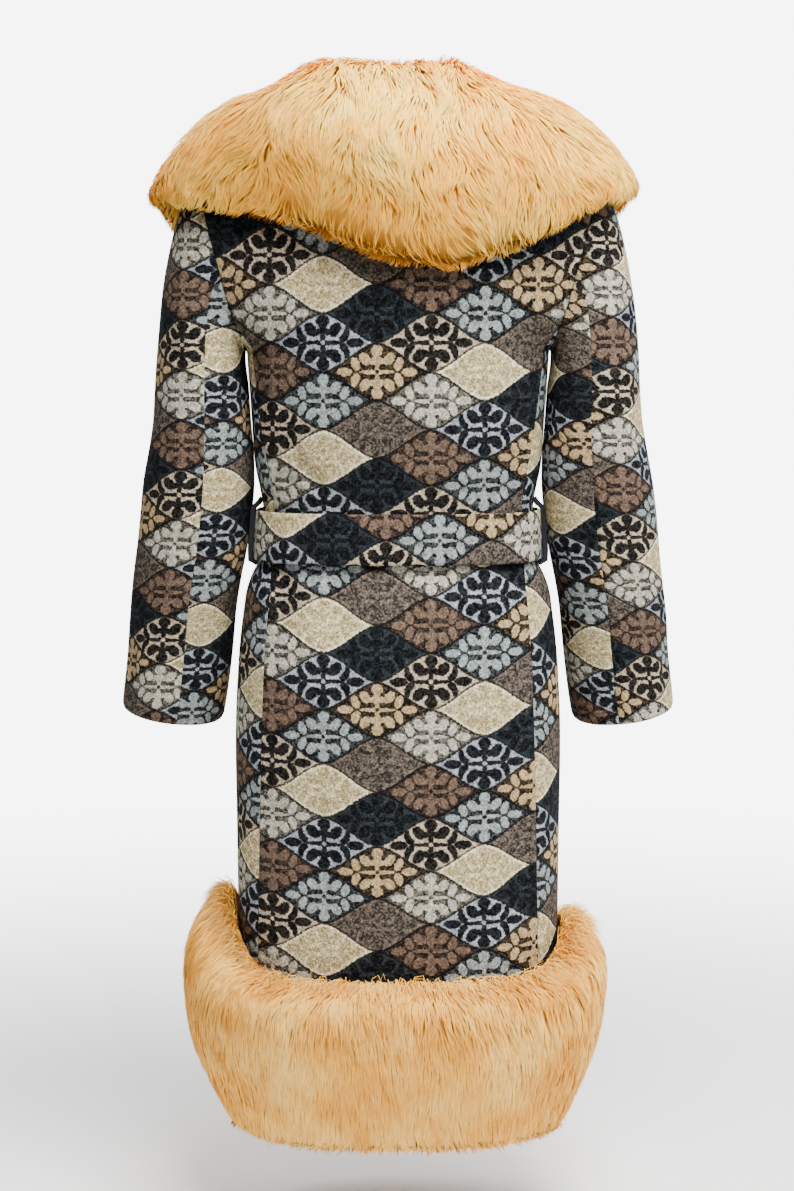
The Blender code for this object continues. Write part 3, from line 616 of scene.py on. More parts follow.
def ripples(across, height, seed, size, depth):
    """Slow unevenness of the hand of the cloth."""
    places = zip(across.ravel() / size, height.ravel() / (size * 1.6))
    values = [noise.noise(Vector((a, h, seed))) for a, h in places]
    return np.array(values).reshape(across.shape) * depth


CREASE_GAIN = 1.8
# How far the cloth ripples, freely and beside another piece. Where it lies beside one it only stands proud.
RIPPLE = 0.05
SLACK = 0.0024
TAUT = 0.0005
CALM = 0.001
PROUD = 0.0002
# Lines of points over which creases fade toward an edge
EDGE_ROWS = 3.0
BACK_CREASES = (
    (120, -275, 60, -350, 10, -2.2, 4),
    (125, -300, 90, -352, 6, -1.6, 2),
    (-125, -285, -65, -350, 11, -2.4, -5),
    (-122, -318, -85, -354, 6, -1.4, -2),
    (20, -300, 8, -352, 12, -1.2, 2),
    (-30, -320, -36, -354, 9, -1.2, 0),
    (50, -410, 66, -500, 11, -2, 4),
    (-10, -412, -14, -480, 12, -1.4, 0),
    (-55, -410, -76, -520, 12, -2.2, -4),
    (110, -410, 122, -470, 8, -2, 2),
    (-108, -410, -122, -460, 8, -1.8, -2),
    (128, -60, 138, -230, 13, -2.8, 8),
    (-130, -65, -137, -225, 12, -2.6, -8),
    (70, -560, 85, -800, 20, -2.2, 6),
    (-30, -600, -34, -810, 24, -1.8, 0),
    (-105, -560, -118, -800, 18, -2.4, -6),
    (20, -580, 26, -790, 22, 1.6, 0),
)
FRONT_CREASES = (
    (110, -170, 50, -330, 12, -2.6, 8),
    (128, -210, 85, -345, 9, -2.2, 6),
    (122, -250, 100, -350, 8, -2, 3),
    (60, -412, 78, -520, 10, -2.2, 4),
    (105, -412, 122, -500, 9, -2, 3),
    (20, -412, 30, -490, 11, -1.6, 0),
    (70, -560, 82, -800, 20, -2.4, 5),
    (125, -580, 140, -800, 16, -2.2, 4),
)
SIDE_CREASES = (
    (10, -250, 28, -350, 8, -1.6, 0),
    (20, -410, 12, -500, 8, -1.8, 0),
    (25, -560, 28, -780, 14, -1.6, 2),
)
# Here the way across is the angle round the sleeve, a degree for a millimetre
SLEEVE_CREASES = (
    (60, -300, 150, -352, 7, -2.4, 3),
    (175, -318, 110, -372, 6, -2, -3),
    (200, -352, 135, -398, 7, -2.4, 3),
    (210, -385, 120, -418, 6, -1.8, -2),
    (50, -372, 110, -408, 7, -1.6, 3),
    (90, -170, 120, -262, 10, -3, 4),
    (45, -150, 80, -245, 10, -2, 4),
    (150, -225, 170, -300, 8, -2, 2),
    (-20, -190, -45, -300, 11, -2.2, 3),
    (-60, -330, -10, -385, 8, -2, 3),
    (-80, -380, -20, -425, 8, -1.8, -3),
    (100, -470, 130, -555, 10, -1.6, 2),
    (20, -480, 35, -560, 12, -1.6, 2),
    (250, -330, 200, -400, 8, -2.2, 2),
)


# The flat cut of each piece without its seam allowance: width and length, and the cloth in it
CUT = {
    "back_centre": ((0.42, 0.95), 0.2875),
    "side_back": ((0.085, 0.72), 0.050),
    "front": ((0.29, 0.95), 0.200),
    "sleeve_upper": ((0.25, 0.60), 0.112),
    "sleeve_under": ((0.145, 0.46), 0.062),
    "belt": ((0.052, 0.94), 0.0485),
}


# Meshes


def joined(node):
    """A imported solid's loose triangles as one closed mesh."""
    bm = bmesh.new()
    bm.from_mesh(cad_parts[node].data)
    bmesh.ops.remove_doubles(bm, verts=bm.verts, dist=MERGE)
    bmesh.ops.recalc_face_normals(bm, faces=bm.faces)
    bm.normal_update()
    return bm


def placed(name, data):
    """A new object in the scene."""
    obj = bpy.data.objects.new(name, data)
    bpy.context.scene.collection.objects.link(obj)
    return obj


def sheet_mesh(name, grid, weave, materials, thickness):
    """A shell of cloth whose outer face is the grid, with the place in the repeat as its UV map."""
    rows, columns = grid.shape[:2]
    bm = bmesh.new()
    bmesh.ops.create_grid(bm, x_segments=columns - 1, y_segments=rows - 1, size=1.0)
    places = {}
    for vert in bm.verts:
        places[vert] = (round((vert.co.y + 1) / 2 * (rows - 1)), round((vert.co.x + 1) / 2 * (columns - 1)))
        vert.co = grid[places[vert]]
    layer = bm.loops.layers.uv.new("repeat")
    for face in bm.faces:
        face.smooth = True
        for loop in face.loops:
            loop[layer].uv = weave[places[loop.vert]]
    mesh = bpy.data.meshes.new(name)
    bm.to_mesh(mesh)
    bm.free()
    obj = placed(name, mesh)
    for material in materials:
        mesh.materials.append(material)
    wall = obj.modifiers.new("wall", "SOLIDIFY")
    wall.thickness = thickness
    wall.offset = -1.0
    wall.use_even_offset = False
    wall.material_offset = len(materials) - 1
    return obj


def facing_out(obj, middle_point):
    """Turns the sheet's faces so that they point away from the inside of the garment."""
    mesh = obj.data
    total = 0.0
    for polygon in mesh.polygons:
        total += polygon.normal.dot(polygon.center - middle_point(polygon.center)) * polygon.area
    if total < 0:
        mesh.flip_normals()


def cloth_piece(name, coarse, by, middle, weave, creases, across, seed, materials, slack=SLACK):
    """One piece of the cut: the coarse grid, finer and creased, as a shell of cloth."""
    grid = refined(coarse, *by)
    normals = grid_normals(grid, middle)
    width, height = across(grid), grid[..., 2]
    depth = crease_depths(width, height, creases) * CREASE_GAIN + ripples(width, height, seed, RIPPLE, slack)
    beside = beside_sleeve(grid, *BESIDE_CREASES) * (middle is body_middle) if slack > CALM else 1.0
    depth = depth + (np.maximum(depth, 0.0) + PROUD - depth) * beside
    lines = [np.linspace(0, 1, count) for count in grid.shape[:2]]
    rows, columns = [np.minimum(line, 1 - line) * len(line) for line in lines]
    edge = np.minimum(rows[:, None], columns[None, :])
    grid = rolled(grid + normals * (depth * ease(edge, 0.0, EDGE_ROWS))[..., None], normals)
    obj = sheet_mesh(name, grid, weave(grid), materials, CLOTH)
    facing_out(obj, lambda p: Vector(middle(np.array(p)[None, None])[0, 0]))
    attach(obj, "root")
    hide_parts(name.replace("_cloth", ""))
    flat, area = CUT[re.sub("_left|_right|_cloth", "", name)]


# Materials


def put(tree, kind, *inputs, **settings):
    """A new node, with its settings and its inputs in order: a socket is linked and a value is set."""
    made = tree.nodes.new("ShaderNode" + kind)
    for key, value in settings.items():
        setattr(made, key, value)
    for socket, value in zip(made.inputs, inputs):
        if isinstance(value, bpy.types.NodeSocket):
            tree.links.new(value, socket)
        elif value is not None:
            socket.default_value = value
    return made


def calc(tree, operation, *values):
    return put(tree, "Math", *values, operation=operation).outputs[0]


def plus(tree, a, b):
    return calc(tree, "ADD", a, b)


def minus(tree, a, b):
    return calc(tree, "SUBTRACT", a, b)


def times(tree, a, b):
    return calc(tree, "MULTIPLY", a, b)


def vector(tree, operation, a, b):
    return put(tree, "VectorMath", a, b, operation=operation).outputs[0]


def distance(tree, a):
    return put(tree, "VectorMath", a, operation="LENGTH").outputs["Value"]


def texture(tree, kind, where, scale, detail=None, **settings):
    """The outputs of a texture at a place."""
    made = put(tree, "Tex" + kind, where, **settings)
    made.inputs["Scale"].default_value = scale
    if detail is not None:
        made.inputs["Detail"].default_value = detail
    return made.outputs


def blend_colour(tree, factor, a, b, way="MIX"):
    made = put(tree, "Mix", data_type="RGBA", blend_type=way)
    for index, value in ((0, factor), (6, a), (7, b)):
        if isinstance(value, bpy.types.NodeSocket):
            tree.links.new(value, made.inputs[index])
        else:
            made.inputs[index].default_value = value if index == 0 else (*value, 1.0)
    return made.outputs[2]


def darkened(tree, colour, lightness):
    grey = put(tree, "CombineColor", lightness, lightness, lightness).outputs[0]
    return blend_colour(tree, 1.0, colour, grey, "MULTIPLY")


def between(tree, value, low, high, to_low=0.0, to_high=1.0, smooth=True):
    made = put(tree, "MapRange", value, low, high, to_low, to_high)
    made.interpolation_type = "SMOOTHSTEP" if smooth else "LINEAR"
    return made.outputs[0]


def linear(colour):
    """A colour given as 0 to 255 in a picture, as the values that a shader takes."""
    values = [c / 255 for c in colour]
    return tuple(c / 12.92 if c <= 0.04045 else ((c + 0.055) / 1.055) ** 2.4 for c in values)


# The nine medallions of the repeat: leaf colour, ground colour, size of the leaves, how mixed the threads are
MEDALLIONS = (
    ((5, 6, 10), (184, 168, 144), 1.16, 0.05),
    ((190, 185, 168), (50, 45, 40), 0.96, 0.24),
    ((112, 92, 77), (22, 18, 18), 0.97, 0.30),
    ((156, 140, 98), (220, 206, 164), 1.10, 0.50),
    ((4, 6, 10), (154, 160, 166), 1.16, 0.05),
    ((148, 156, 154), (9, 11, 15), 0.95, 0.16),
    ((5, 6, 9), (44, 50, 53), 1.14, 0.40),
    ((182, 156, 116), (13, 11, 11), 0.95, 0.12),
    ((40, 36, 34), (114, 102, 90), 1.10, 0.64),
)

# The medallion with a cream line round it
CREAM_RIM = 3.0
CREAM = (236, 226, 192)
OUTLINE = (10, 10, 12)
# Threads in a medallion's width and height, and ribs to a thread
THREADS_WIDE = 54.0
THREADS_HIGH = 57.0
RIBS = 6.6
# How unevenly the threads lie: the size of that on the cloth, and how far it goes in repeats
WAVER_SCALE = 0.42
WAVER = (0.050, 0.048, 0.0)
# From where to where a leaf ends, as shares of its reach, and the gap round a side leaf
LEAF_EDGE = (0.90, 1.10)
SIDE_GAP = (1.34, 1.56)
# The round gap in the middle, in threads, and the lines round a medallion, in threads from its rim
EYE = (1.6, 2.8)
CREAM_START = (0.9, 1.7)
CREAM_END = (3.0, 4.4)
OUTLINE_END = (0.5, 1.9)
# Grains of the threads: their scale, colour channel and levels, and the values at those levels
MIX_GRAINS = (0.55, 0, 0.22, 0.78)
COARSE_GRAINS = (0.62, 1, 0.0, 1.0, 0.42, 1.10)
FINE_GRAINS = (1.25, 2, 0.0, 1.0, 0.68, 1.32)
# A medallion's leaves in one quarter, in threads: centre, half sizes and turn in degrees
SIDE_LEAF = (12.2, 12.8, 4.9, 7.0, -38.0)
JOINT = (5.0, 10.5, 3.6, 3.0, -38.0)
LEAVES = (
    (0.0, 20.8, 6.0, 5.8, 0.0),
    (0.0, 11.5, 4.2, 7.0, 0.0),
    (0.0, 4.5, 2.1, 6.5, 0.0),
    (0.0, 0.0, 18.5, 2.3, 0.0),
    (21.6, 7.8, 4.4, 7.2, -20.0),
    (32.2, 0.0, 8.0, 4.3, 0.0),
)


def medallion_group():
    """The woven repeat: ogee cells in columns, each with a medallion of leaves, in mixed threads."""
    tree = bpy.data.node_groups.new("woven_medallions", "ShaderNodeTree")
    tree.interface.new_socket("Place", in_out="INPUT", socket_type="NodeSocketVector")
    tree.interface.new_socket("Colour", in_out="OUTPUT", socket_type="NodeSocketColor")
    tree.interface.new_socket("Relief", in_out="OUTPUT", socket_type="NodeSocketFloat")
    start = tree.nodes.new("NodeGroupInput")
    end = tree.nodes.new("NodeGroupOutput")
    # Whole repeats are added, so that every place is above zero
    even = vector(tree, "ADD", start.outputs[0], (60.0, 60.0, 0.0))
    threads = vector(tree, "MULTIPLY", even, (THREADS_WIDE, THREADS_HIGH, 1.0))
    waver = texture(tree, "Noise", threads, WAVER_SCALE, 1.0, noise_dimensions="2D")["Color"]
    waver = vector(tree, "SUBTRACT", waver, (0.5, 0.5, 0.5))
    place = vector(tree, "ADD", even, vector(tree, "MULTIPLY", waver, WAVER))
    parts = put(tree, "SeparateXYZ", place).outputs
    x, y = parts[0], parts[1]
    column = calc(tree, "FLOOR", x)
    shift = minus(tree, x, column)

    def half_height(across):
        straight = times(tree, minus(tree, 1.0, across), 0.3)
        wave = calc(tree, "COSINE", times(tree, across, math.pi / 2))
        return plus(tree, straight, times(tree, times(tree, wave, wave), 0.7))

    def row_shift(of_column):
        down = minus(tree, y, times(tree, of_column, 0.5))
        row = calc(tree, "ROUND", down)
        return row, minus(tree, down, row)

    _, first_shift = row_shift(column)
    reach = times(tree, calc(tree, "ABSOLUTE", first_shift), 2.0)
    is_first = calc(tree, "LESS_THAN", reach, half_height(shift))
    own = minus(tree, plus(tree, column, 1.0), is_first)
    row, down = row_shift(own)
    across = calc(tree, "ABSOLUTE", minus(tree, x, own))
    height = calc(tree, "ABSOLUTE", down)
    rim = minus(tree, half_height(across), times(tree, height, 2.0))
    kind = plus(tree, times(tree, calc(tree, "MODULO", own, 3.0), 3.0), calc(tree, "MODULO", row, 3.0))
    pick = calc(tree, "DIVIDE", plus(tree, kind, 0.5), 9.0)
    ramps = []
    for entry in (0, 1):
        ramp = put(tree, "ValToRGB", pick)
        ramp.color_ramp.interpolation = "CONSTANT"
        stops = ramp.color_ramp.elements
        while len(stops) < len(MEDALLIONS):
            stops.new(0.5)
        for k, medallion in enumerate(MEDALLIONS):
            stops[k].position = k / 9
            stops[k].color = (*linear(medallion[entry]), medallion[2] / 2 if entry == 0 else medallion[3])
        ramps.append(ramp)
    wide, high = times(tree, across, THREADS_WIDE), times(tree, height, THREADS_HIGH)
    inside = put(tree, "CombineXYZ", wide, high, 0.0).outputs[0]
    size = times(tree, ramps[0].outputs["Alpha"], 2.0)

    def leaf_reach(cx, cy, rx, ry, turn):
        moved = vector(tree, "SUBTRACT", inside, (cx, cy, 0.0))
        if turn:
            angle = math.radians(-turn)
            moved = put(tree, "VectorRotate", moved, (0.0, 0.0, 0.0), None, angle, rotation_type="Z_AXIS")
            moved = moved.outputs[0]
        sized = vector(tree, "MULTIPLY", moved, (1 / rx, 1 / ry, 0.0))
        return calc(tree, "DIVIDE", distance(tree, sized), size)

    nearest = None
    for leaf in LEAVES:
        reach = leaf_reach(*leaf)
        nearest = reach if nearest is None else calc(tree, "MINIMUM", nearest, reach)
    side = leaf_reach(*SIDE_LEAF)
    ring = between(tree, nearest, *LEAF_EDGE, 1.0, 0.0)
    leaf = times(tree, ring, between(tree, side, *SIDE_GAP))
    bent = calc(tree, "MINIMUM", side, leaf_reach(*JOINT))
    leaf = calc(tree, "MAXIMUM", leaf, between(tree, bent, *LEAF_EDGE, 1.0, 0.0))
    leaf = times(tree, leaf, between(tree, distance(tree, inside), *EYE))

    def grains(scale, channel, *levels, **shape):
        cells = texture(tree, "Voronoi", threads, scale, voronoi_dimensions="2D")
        return between(tree, put(tree, "SeparateColor", cells["Color"]).outputs[channel], *levels, **shape)

    mixed = ramps[1].outputs["Alpha"]
    plain = times(tree, leaf, minus(tree, 1.0, mixed))
    sharp = grains(*MIX_GRAINS)
    share = plus(tree, plain, times(tree, mixed, sharp))
    colour = blend_colour(tree, share, ramps[1].outputs["Color"], ramps[0].outputs["Color"])
    reach = times(tree, rim, THREADS_HIGH / 2)
    cream = times(tree, between(tree, reach, *CREAM_START), between(tree, reach, *CREAM_END, 0.8, 0.0))
    cream = times(tree, cream, calc(tree, "COMPARE", kind, CREAM_RIM, 0.5))
    colour = blend_colour(tree, cream, colour, linear(CREAM))
    edge = between(tree, reach, *OUTLINE_END, 0.92, 0.0)
    colour = blend_colour(tree, edge, colour, linear(OUTLINE))
    lightness = grains(*COARSE_GRAINS, smooth=False)
    lightness = times(tree, lightness, grains(*FINE_GRAINS, smooth=False))
    tree.links.new(darkened(tree, colour, lightness), end.inputs[0])
    ribs = calc(tree, "SINE", times(tree, y, THREADS_HIGH * RIBS))
    relief = plus(tree, times(tree, leaf, 0.5), times(tree, ribs, 0.12))
    relief = plus(tree, relief, times(tree, lightness, 0.6))
    tree.links.new(relief, end.inputs[1])
    return tree


def shaded_material(name, roughness, gloss=0.5):
    material = bpy.data.materials.new(name)
    material.use_nodes = True
    tree = material.node_tree
    shader = tree.nodes["Principled BSDF"]
    shader.inputs["Roughness"].default_value = roughness
    shader.inputs["Specular IOR Level"].default_value = gloss
    return material, tree, shader


def bumped(tree, shader, height, strength, depth):
    bump = put(tree, "Bump")
    bump.inputs["Strength"].default_value = strength
    bump.inputs["Distance"].default_value = depth
    tree.links.new(height, bump.inputs["Height"])
    tree.links.new(bump.outputs[0], shader.inputs["Normal"])


def tapestry_material(name, group, reverse=False):
    material, tree, shader = shaded_material(name, 0.92, 0.07)
    where = put(tree, "UVMap", uv_map="repeat").outputs[0]
    woven = put(tree, "Group", node_tree=group)
    tree.links.new(where, woven.inputs[0])
    colour = woven.outputs["Colour"]
    if reverse:
        colour = blend_colour(tree, 0.80, colour, linear((44, 41, 40)))
    tree.links.new(colour, shader.inputs["Base Color"])
    bumped(tree, shader, woven.outputs["Relief"], 0.7, 0.0009)
    return material


def wool_material():
    material, tree, shader = shaded_material("dark_ribbed_wool", 0.95)
    where = put(tree, "TexCoord").outputs["Object"]
    speckle = texture(tree, "Noise", where, 900.0)["Fac"]
    colour = blend_colour(tree, speckle, linear((14, 15, 19)), linear((44, 45, 52)))
    tree.links.new(colour, shader.inputs["Base Color"])
    bumped(tree, shader, texture(tree, "Wave", where, 350.0, bands_direction="Z")["Fac"], 0.5, 0.0005)
    return material


def fur_material(name, deep, middle, light, patch_scale):
    """Hair: darker at its root and, as painted shade, underneath, with the tone of its lock and of its patch
    of the pelt.
    """
    material, tree, shader = shaded_material(name, 0.75, 0.12)
    hair = put(tree, "Attribute", attribute_name="hair")
    parts = put(tree, "SeparateColor", hair.outputs["Color"]).outputs
    where = put(tree, "TexCoord").outputs["Object"]
    patch = texture(tree, "Noise", where, patch_scale, 2.0)["Fac"]
    tone = plus(tree, times(tree, parts[0], 0.28), 0.20)
    tone = plus(tree, tone, times(tree, parts[1], 0.18))
    tone = plus(tree, tone, times(tree, parts[2], 0.24))
    tone = plus(tree, tone, between(tree, patch, 0.3, 0.7, -0.20, 0.20))
    low = between(tree, tone, 0.0, 0.5, 0.0, 1.0, smooth=False)
    high = between(tree, tone, 0.5, 1.0, 0.0, 1.0, smooth=False)
    colour = blend_colour(tree, low, linear(deep), linear(middle))
    colour = blend_colour(tree, high, colour, linear(light))
    # Painted shade: the colour is darkened by the alpha of the hair attribute, low where the pelt faces down
    tree.links.new(darkened(tree, colour, hair.outputs["Alpha"]), shader.inputs["Base Color"])
    return material


# Fur


UP = np.array([0.0, 0.0, 1.0])
# The slopes of the pelt between which its hair and skin are darkened toward the underside, as painted shade
UNDERNEATH = (-0.95, -0.45)
# The hair: how many in each of a pelt's two pieces, their width, and their height over the solid along them
HAIRS = 33000
RIM_HAIRS = 14000
HAIR_WIDTH = 0.00148
HAIR_HEIGHTS = (-0.009, -0.0025, 0.0012, 0.0030)
HAIR_LENGTHS = (0.72, 1.18)
HAIR_WIDTHS = (0.7, 1.25)
HAIR_STRAY = 0.0009
# A blade's share of its width at its root and at two places along it
TAPER = (0.8, 1.0, 0.75)
RIM_LENGTHS = (0.020, 0.040)
RIM_WIDTHS = (0.0005, 0.0009)
RIM_STRAY = 0.22
SKIN_DEPTH = 0.010
# How much of its way a hair keeps, and how it clings under the pelt
DRIFT = 0.45
UNDER_SLOPE = -0.15
UNDER_CLING = 0.8


class Pelt:
    """The outer surface of one fur solid, with the way its hair is combed at each point."""

    def __init__(self, node, comb, swirl):
        bm = joined(node)
        self.tree = BVHTree.FromBMesh(bm)
        bm.verts.ensure_lookup_table()
        self.points = np.array([v.co for v in bm.verts])
        self.normals = np.array([v.normal for v in bm.verts])
        self.faces = np.array([[v.index for v in f.verts] for f in bm.faces])
        self.areas = np.array([f.calc_area() for f in bm.faces])
        self.face_normals = np.array([f.normal for f in bm.faces])
        self.mesh = bpy.data.meshes.new(node + "_skin")
        bm.to_mesh(self.mesh)
        bm.free()
        self.comb = comb
        self.swirl = swirl

    def roots(self, count, weight, rng):
        """Random points of the surface, more of them where weight is higher."""
        corners = self.points[self.faces]
        share = self.areas * weight(corners.mean(axis=1), self.face_normals)
        picked = rng.choice(len(share), size=count, p=share / share.sum())
        a, b = rng.random((2, count))
        a, b = np.where(a + b > 1, 1 - a, a), np.where(a + b > 1, 1 - b, b)
        keys = np.stack([1 - a - b, a, b], axis=1)[..., None]
        points = (corners[picked] * keys).sum(axis=1)
        normals = (self.normals[self.faces[picked]] * keys).sum(axis=1)
        return points, unit(normals)

    def way(self, points, normals):
        """The combed direction at points, along the surface, with the swirl of its locks."""
        want = self.comb(points, normals)
        along = unit(want - normals * np.sum(want * normals, axis=1, keepdims=True))
        side = np.cross(normals, along)
        turn = np.zeros(len(points))
        for size, amount, seed in self.swirl:
            turn += amount * np.array([noise.noise(Vector(p) / size + Vector((seed, 0, 0))) for p in points])
        turn = turn[:, None]
        return along * np.cos(turn) + side * np.sin(turn)

    def settle(self, points, fallback):
        """The nearest points of the surface and its normals there."""
        places, normals = np.array(points), np.array(fallback)
        for i, p in enumerate(points):
            place, normal, _, _ = self.tree.find_nearest(p)
            if place is not None:
                places[i], normals[i] = place, normal
        return places, normals


def grow(pelt, roots, normals, lengths, steps, heights, cling, pull):
    """Hair from its roots over the surface: the points of each hair, and the surface's normals there."""
    line, facing = [roots + normals * heights[0]], [normals]
    place, normal = roots, normals
    step = (lengths / steps)[:, None]
    drift = None
    for k in range(1, steps + 1):
        way = pelt.way(place, normal)
        drift = unit(way if drift is None else drift * DRIFT + way * (1 - DRIFT))
        free = place + (drift - UP * pull) * step
        near, near_normal = pelt.settle(free, normal)
        held = np.where(near_normal[:, 2] < UNDER_SLOPE, cling * UNDER_CLING, cling)[:, None]
        normal = unit(normal * 0.5 + near_normal * 0.5)
        place = free + (near - free) * held
        line.append(place + normal * heights[k])
        facing.append(normal)
    return np.stack(line, axis=1), np.stack(facing, axis=1)


def hair_mesh(name, lines, facing, widths, tones, material, rng):
    """One mesh of flat tapering blades: two points at each place along a hair and one at its tip."""
    count, places = lines.shape[:2]
    along = unit(np.gradient(lines, axis=1))
    side = unit(np.cross(along, facing))
    tilt = rng.uniform(-0.7, 0.7, count)[:, None, None]
    side = side * np.cos(tilt) + np.cross(along, side) * np.sin(tilt)
    reach = widths[:, None, None] * np.array(TAPER)[None, :, None] / 2
    left, right = lines[:, :-1] - side[:, :-1] * reach, lines[:, :-1] + side[:, :-1] * reach
    pairs = np.stack([left, right], axis=2).reshape(count, -1, 3)
    points = np.concatenate([pairs, lines[:, -1:]], axis=1)
    per_hair = points.shape[1]
    quads = [(2 * k, 2 * k + 1, 2 * k + 3, 2 * k + 2) for k in range(places - 2)]
    tip = (2 * places - 4, 2 * places - 3, 2 * places - 2)
    starts = (np.arange(count) * per_hair)[:, None]
    loops = np.concatenate([starts + np.array(corners)[None] for corners in [*quads, tip]], axis=1)
    sizes = np.tile([4] * len(quads) + [3], count)
    mesh = bpy.data.meshes.new(name)
    mesh.vertices.add(count * per_hair)
    mesh.vertices.foreach_set("co", points.astype(np.float32).ravel())
    mesh.loops.add(loops.size)
    mesh.loops.foreach_set("vertex_index", loops.astype(np.int32).ravel())
    mesh.polygons.add(len(sizes))
    mesh.polygons.foreach_set("loop_start", np.concatenate([[0], np.cumsum(sizes)[:-1]]).astype(np.int32))
    mesh.update(calc_edges=True)
    # The hair attribute: how far along the hair, its own tone, its lock's tone and its painted shade, the
    # share of light it is painted as getting
    colours = np.ones((count, per_hair, 4), np.float32)
    colours[..., 0] = np.concatenate([np.repeat(np.linspace(0, 1, places)[:-1], 2), [1.0]])
    for channel, tone in enumerate(tones, 1):
        colours[..., channel] = tone[:, None]
    mesh.attributes.new("hair", "FLOAT_COLOR", "POINT").data.foreach_set("color", colours.ravel())
    mesh.polygons.foreach_set("use_smooth", np.ones(len(sizes), bool))
    soft = np.concatenate([np.repeat(facing[:, :-1], 2, axis=1), facing[:, -1:]], axis=1).reshape(-1, 3)
    mesh.normals_split_custom_set_from_vertices(soft.tolist())
    mesh.materials.append(material)
    return placed(name, mesh)


def fur_piece(name, pelt, count, weight, length, heights, width, cling, pull, locks, material, short, seed):
    """Hair all over a pelt. locks: their number and pull. short: the slopes where the hair gets shorter."""
    rng = np.random.default_rng(seed)
    lock_count, lock_pull = locks
    steps = len(heights) - 1
    roots, normals = pelt.roots(count, weight, rng)
    lengths = length * rng.uniform(*HAIR_LENGTHS, count) * (0.4 + 0.6 * ease(normals[:, 2], *short))
    guides, guide_normals = pelt.roots(lock_count, weight, rng)
    reach = np.full(lock_count, length * 1.05)
    guide_lines, _ = grow(pelt, guides, guide_normals, reach, steps, heights, cling, pull)
    finder = KDTree(lock_count)
    for i, p in enumerate(guides):
        finder.insert(p, i)
    finder.balance()
    lock = np.array([finder.find(p)[1] for p in roots])
    lines, facing = grow(pelt, roots, normals, lengths, steps, heights, cling, pull)
    gather = (np.linspace(0, 1, steps + 1) ** 1.6 * lock_pull)[None, :, None]
    lines = lines + (guide_lines[lock] - lines) * gather * rng.uniform(0.4, 1.0, count)[:, None, None]
    stray = rng.normal(0, HAIR_STRAY, lines[:, 1:].shape)
    lines[:, 1:] += stray * np.linspace(0.3, 1.0, steps)[None, :, None]
    # The third tone is painted shade: hair rooted under the pelt is darkened
    tones = (rng.random(count), rng.random(lock_count)[lock], 0.50 + 0.50 * ease(normals[:, 2], *UNDERNEATH))
    widths = width * rng.uniform(*HAIR_WIDTHS, count)
    obj = hair_mesh(name, lines, facing, widths, tones, material, rng)
    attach(obj, "root")


def skin_piece(name, pelt, node, depth, material):
    """The pelt under the hair: the solid's own form, a little smaller."""
    mesh = pelt.mesh
    obj = placed(name, mesh)
    moved = []
    for point, normal in zip(pelt.points, pelt.normals):
        start = Vector(point) - Vector(normal) * 0.0005
        hit = pelt.tree.ray_cast(start, -Vector(normal), 0.12)
        room = depth if hit[0] is None else hit[3]
        moved.append(point - normal * min(depth, room * 0.30))
    mesh.vertices.foreach_set("co", np.array(moved, np.float32).ravel())
    colours = np.tile([0.45, 0.5, 0.5, 1.0], (len(moved), 1)).astype(np.float32)
    # Painted shade: the skin is darkened where it faces down
    colours[:, 3] = 0.15 + 0.85 * ease(pelt.normals[:, 2], *UNDERNEATH)
    mesh.attributes.new("hair", "FLOAT_COLOR", "POINT").data.foreach_set("color", colours.ravel())
    mesh.shade_smooth()
    mesh.materials.append(material)
    smooth = obj.modifiers.new("smooth", "SUBSURF")
    smooth.levels = smooth.render_levels = 1
    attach(obj, "root")
    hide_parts(node)


def outward(points):
    """Level directions away from the coat's middle line."""
    return unit(points * np.array([1.0, 1.0, 0.0]))


def collar_comb(points, normals):
    """Away from the neck and down."""
    return outward(points) * 0.75 - UP


def hem_comb(points, normals):
    """Down the outside, and outward over the top."""
    return outward(points) * (0.2 + 1.6 * np.clip(normals[:, 2:3], 0, 1)) - UP


def collar_weight(centres, normals):
    """Little hair where the collar lies on the cloth."""
    under = (normals[:, 2] < -0.35) & (centres[:, 2] > -0.30)
    return np.where(under, 0.12, 1.0)


def hem_weight(centres, normals):
    """Little hair on the inside."""
    return np.where(np.sum(outward(centres) * normals, axis=1) < -0.3, 0.10, 1.0)


def make_cloth():
    group = medallion_group()
    face = tapestry_material("tapestry_jacquard", group)
    both = (face, tapestry_material("tapestry_reverse", group, reverse=True))
    cloth_piece(
        "back_centre_cloth", body_grid(back_centre_places(), True, 1), (5, 5), body_middle, back_weave,
        BACK_CREASES, lambda g: g[..., 0], 1.0, both,
    )
    for side, label in ((1, "left"), (-1, "right")):
        cloth_piece(
            f"side_back_{label}_cloth", body_grid(side_back_places(), True, side), (5, 3), body_middle,
            arc_weave(1.0, -0.370 if side > 0 else -0.290), SIDE_CREASES, level_arc, 2.0 + side, both, TAUT,
        )
        cloth_piece(
            f"front_{label}_cloth", body_grid(front_places(), False, side, lapped=side > 0), (5, 5),
            body_middle, arc_weave(3.0 if side > 0 else 4.0, -0.124), FRONT_CREASES,
            lambda g: np.abs(g[..., 0]), 5.0 + side, both,
        )
    rings, angles = sleeve_rings()
    for (part, side), phase in SLEEVE_PHASES.items():
        label = "left" if side > 0 else "right"
        cloth_piece(
            f"sleeve_{part}_{label}_cloth", sleeve_grid(rings, angles, part == "upper", side), (4, 3),
            sleeve_middle(side), sleeve_weave(side, *phase), SLEEVE_CREASES,
            lambda g, side=side: sleeve_turn(g, side) / 1000, 9.0 + side, both,
            SLACK if part == "upper" else TAUT,
        )
    return face


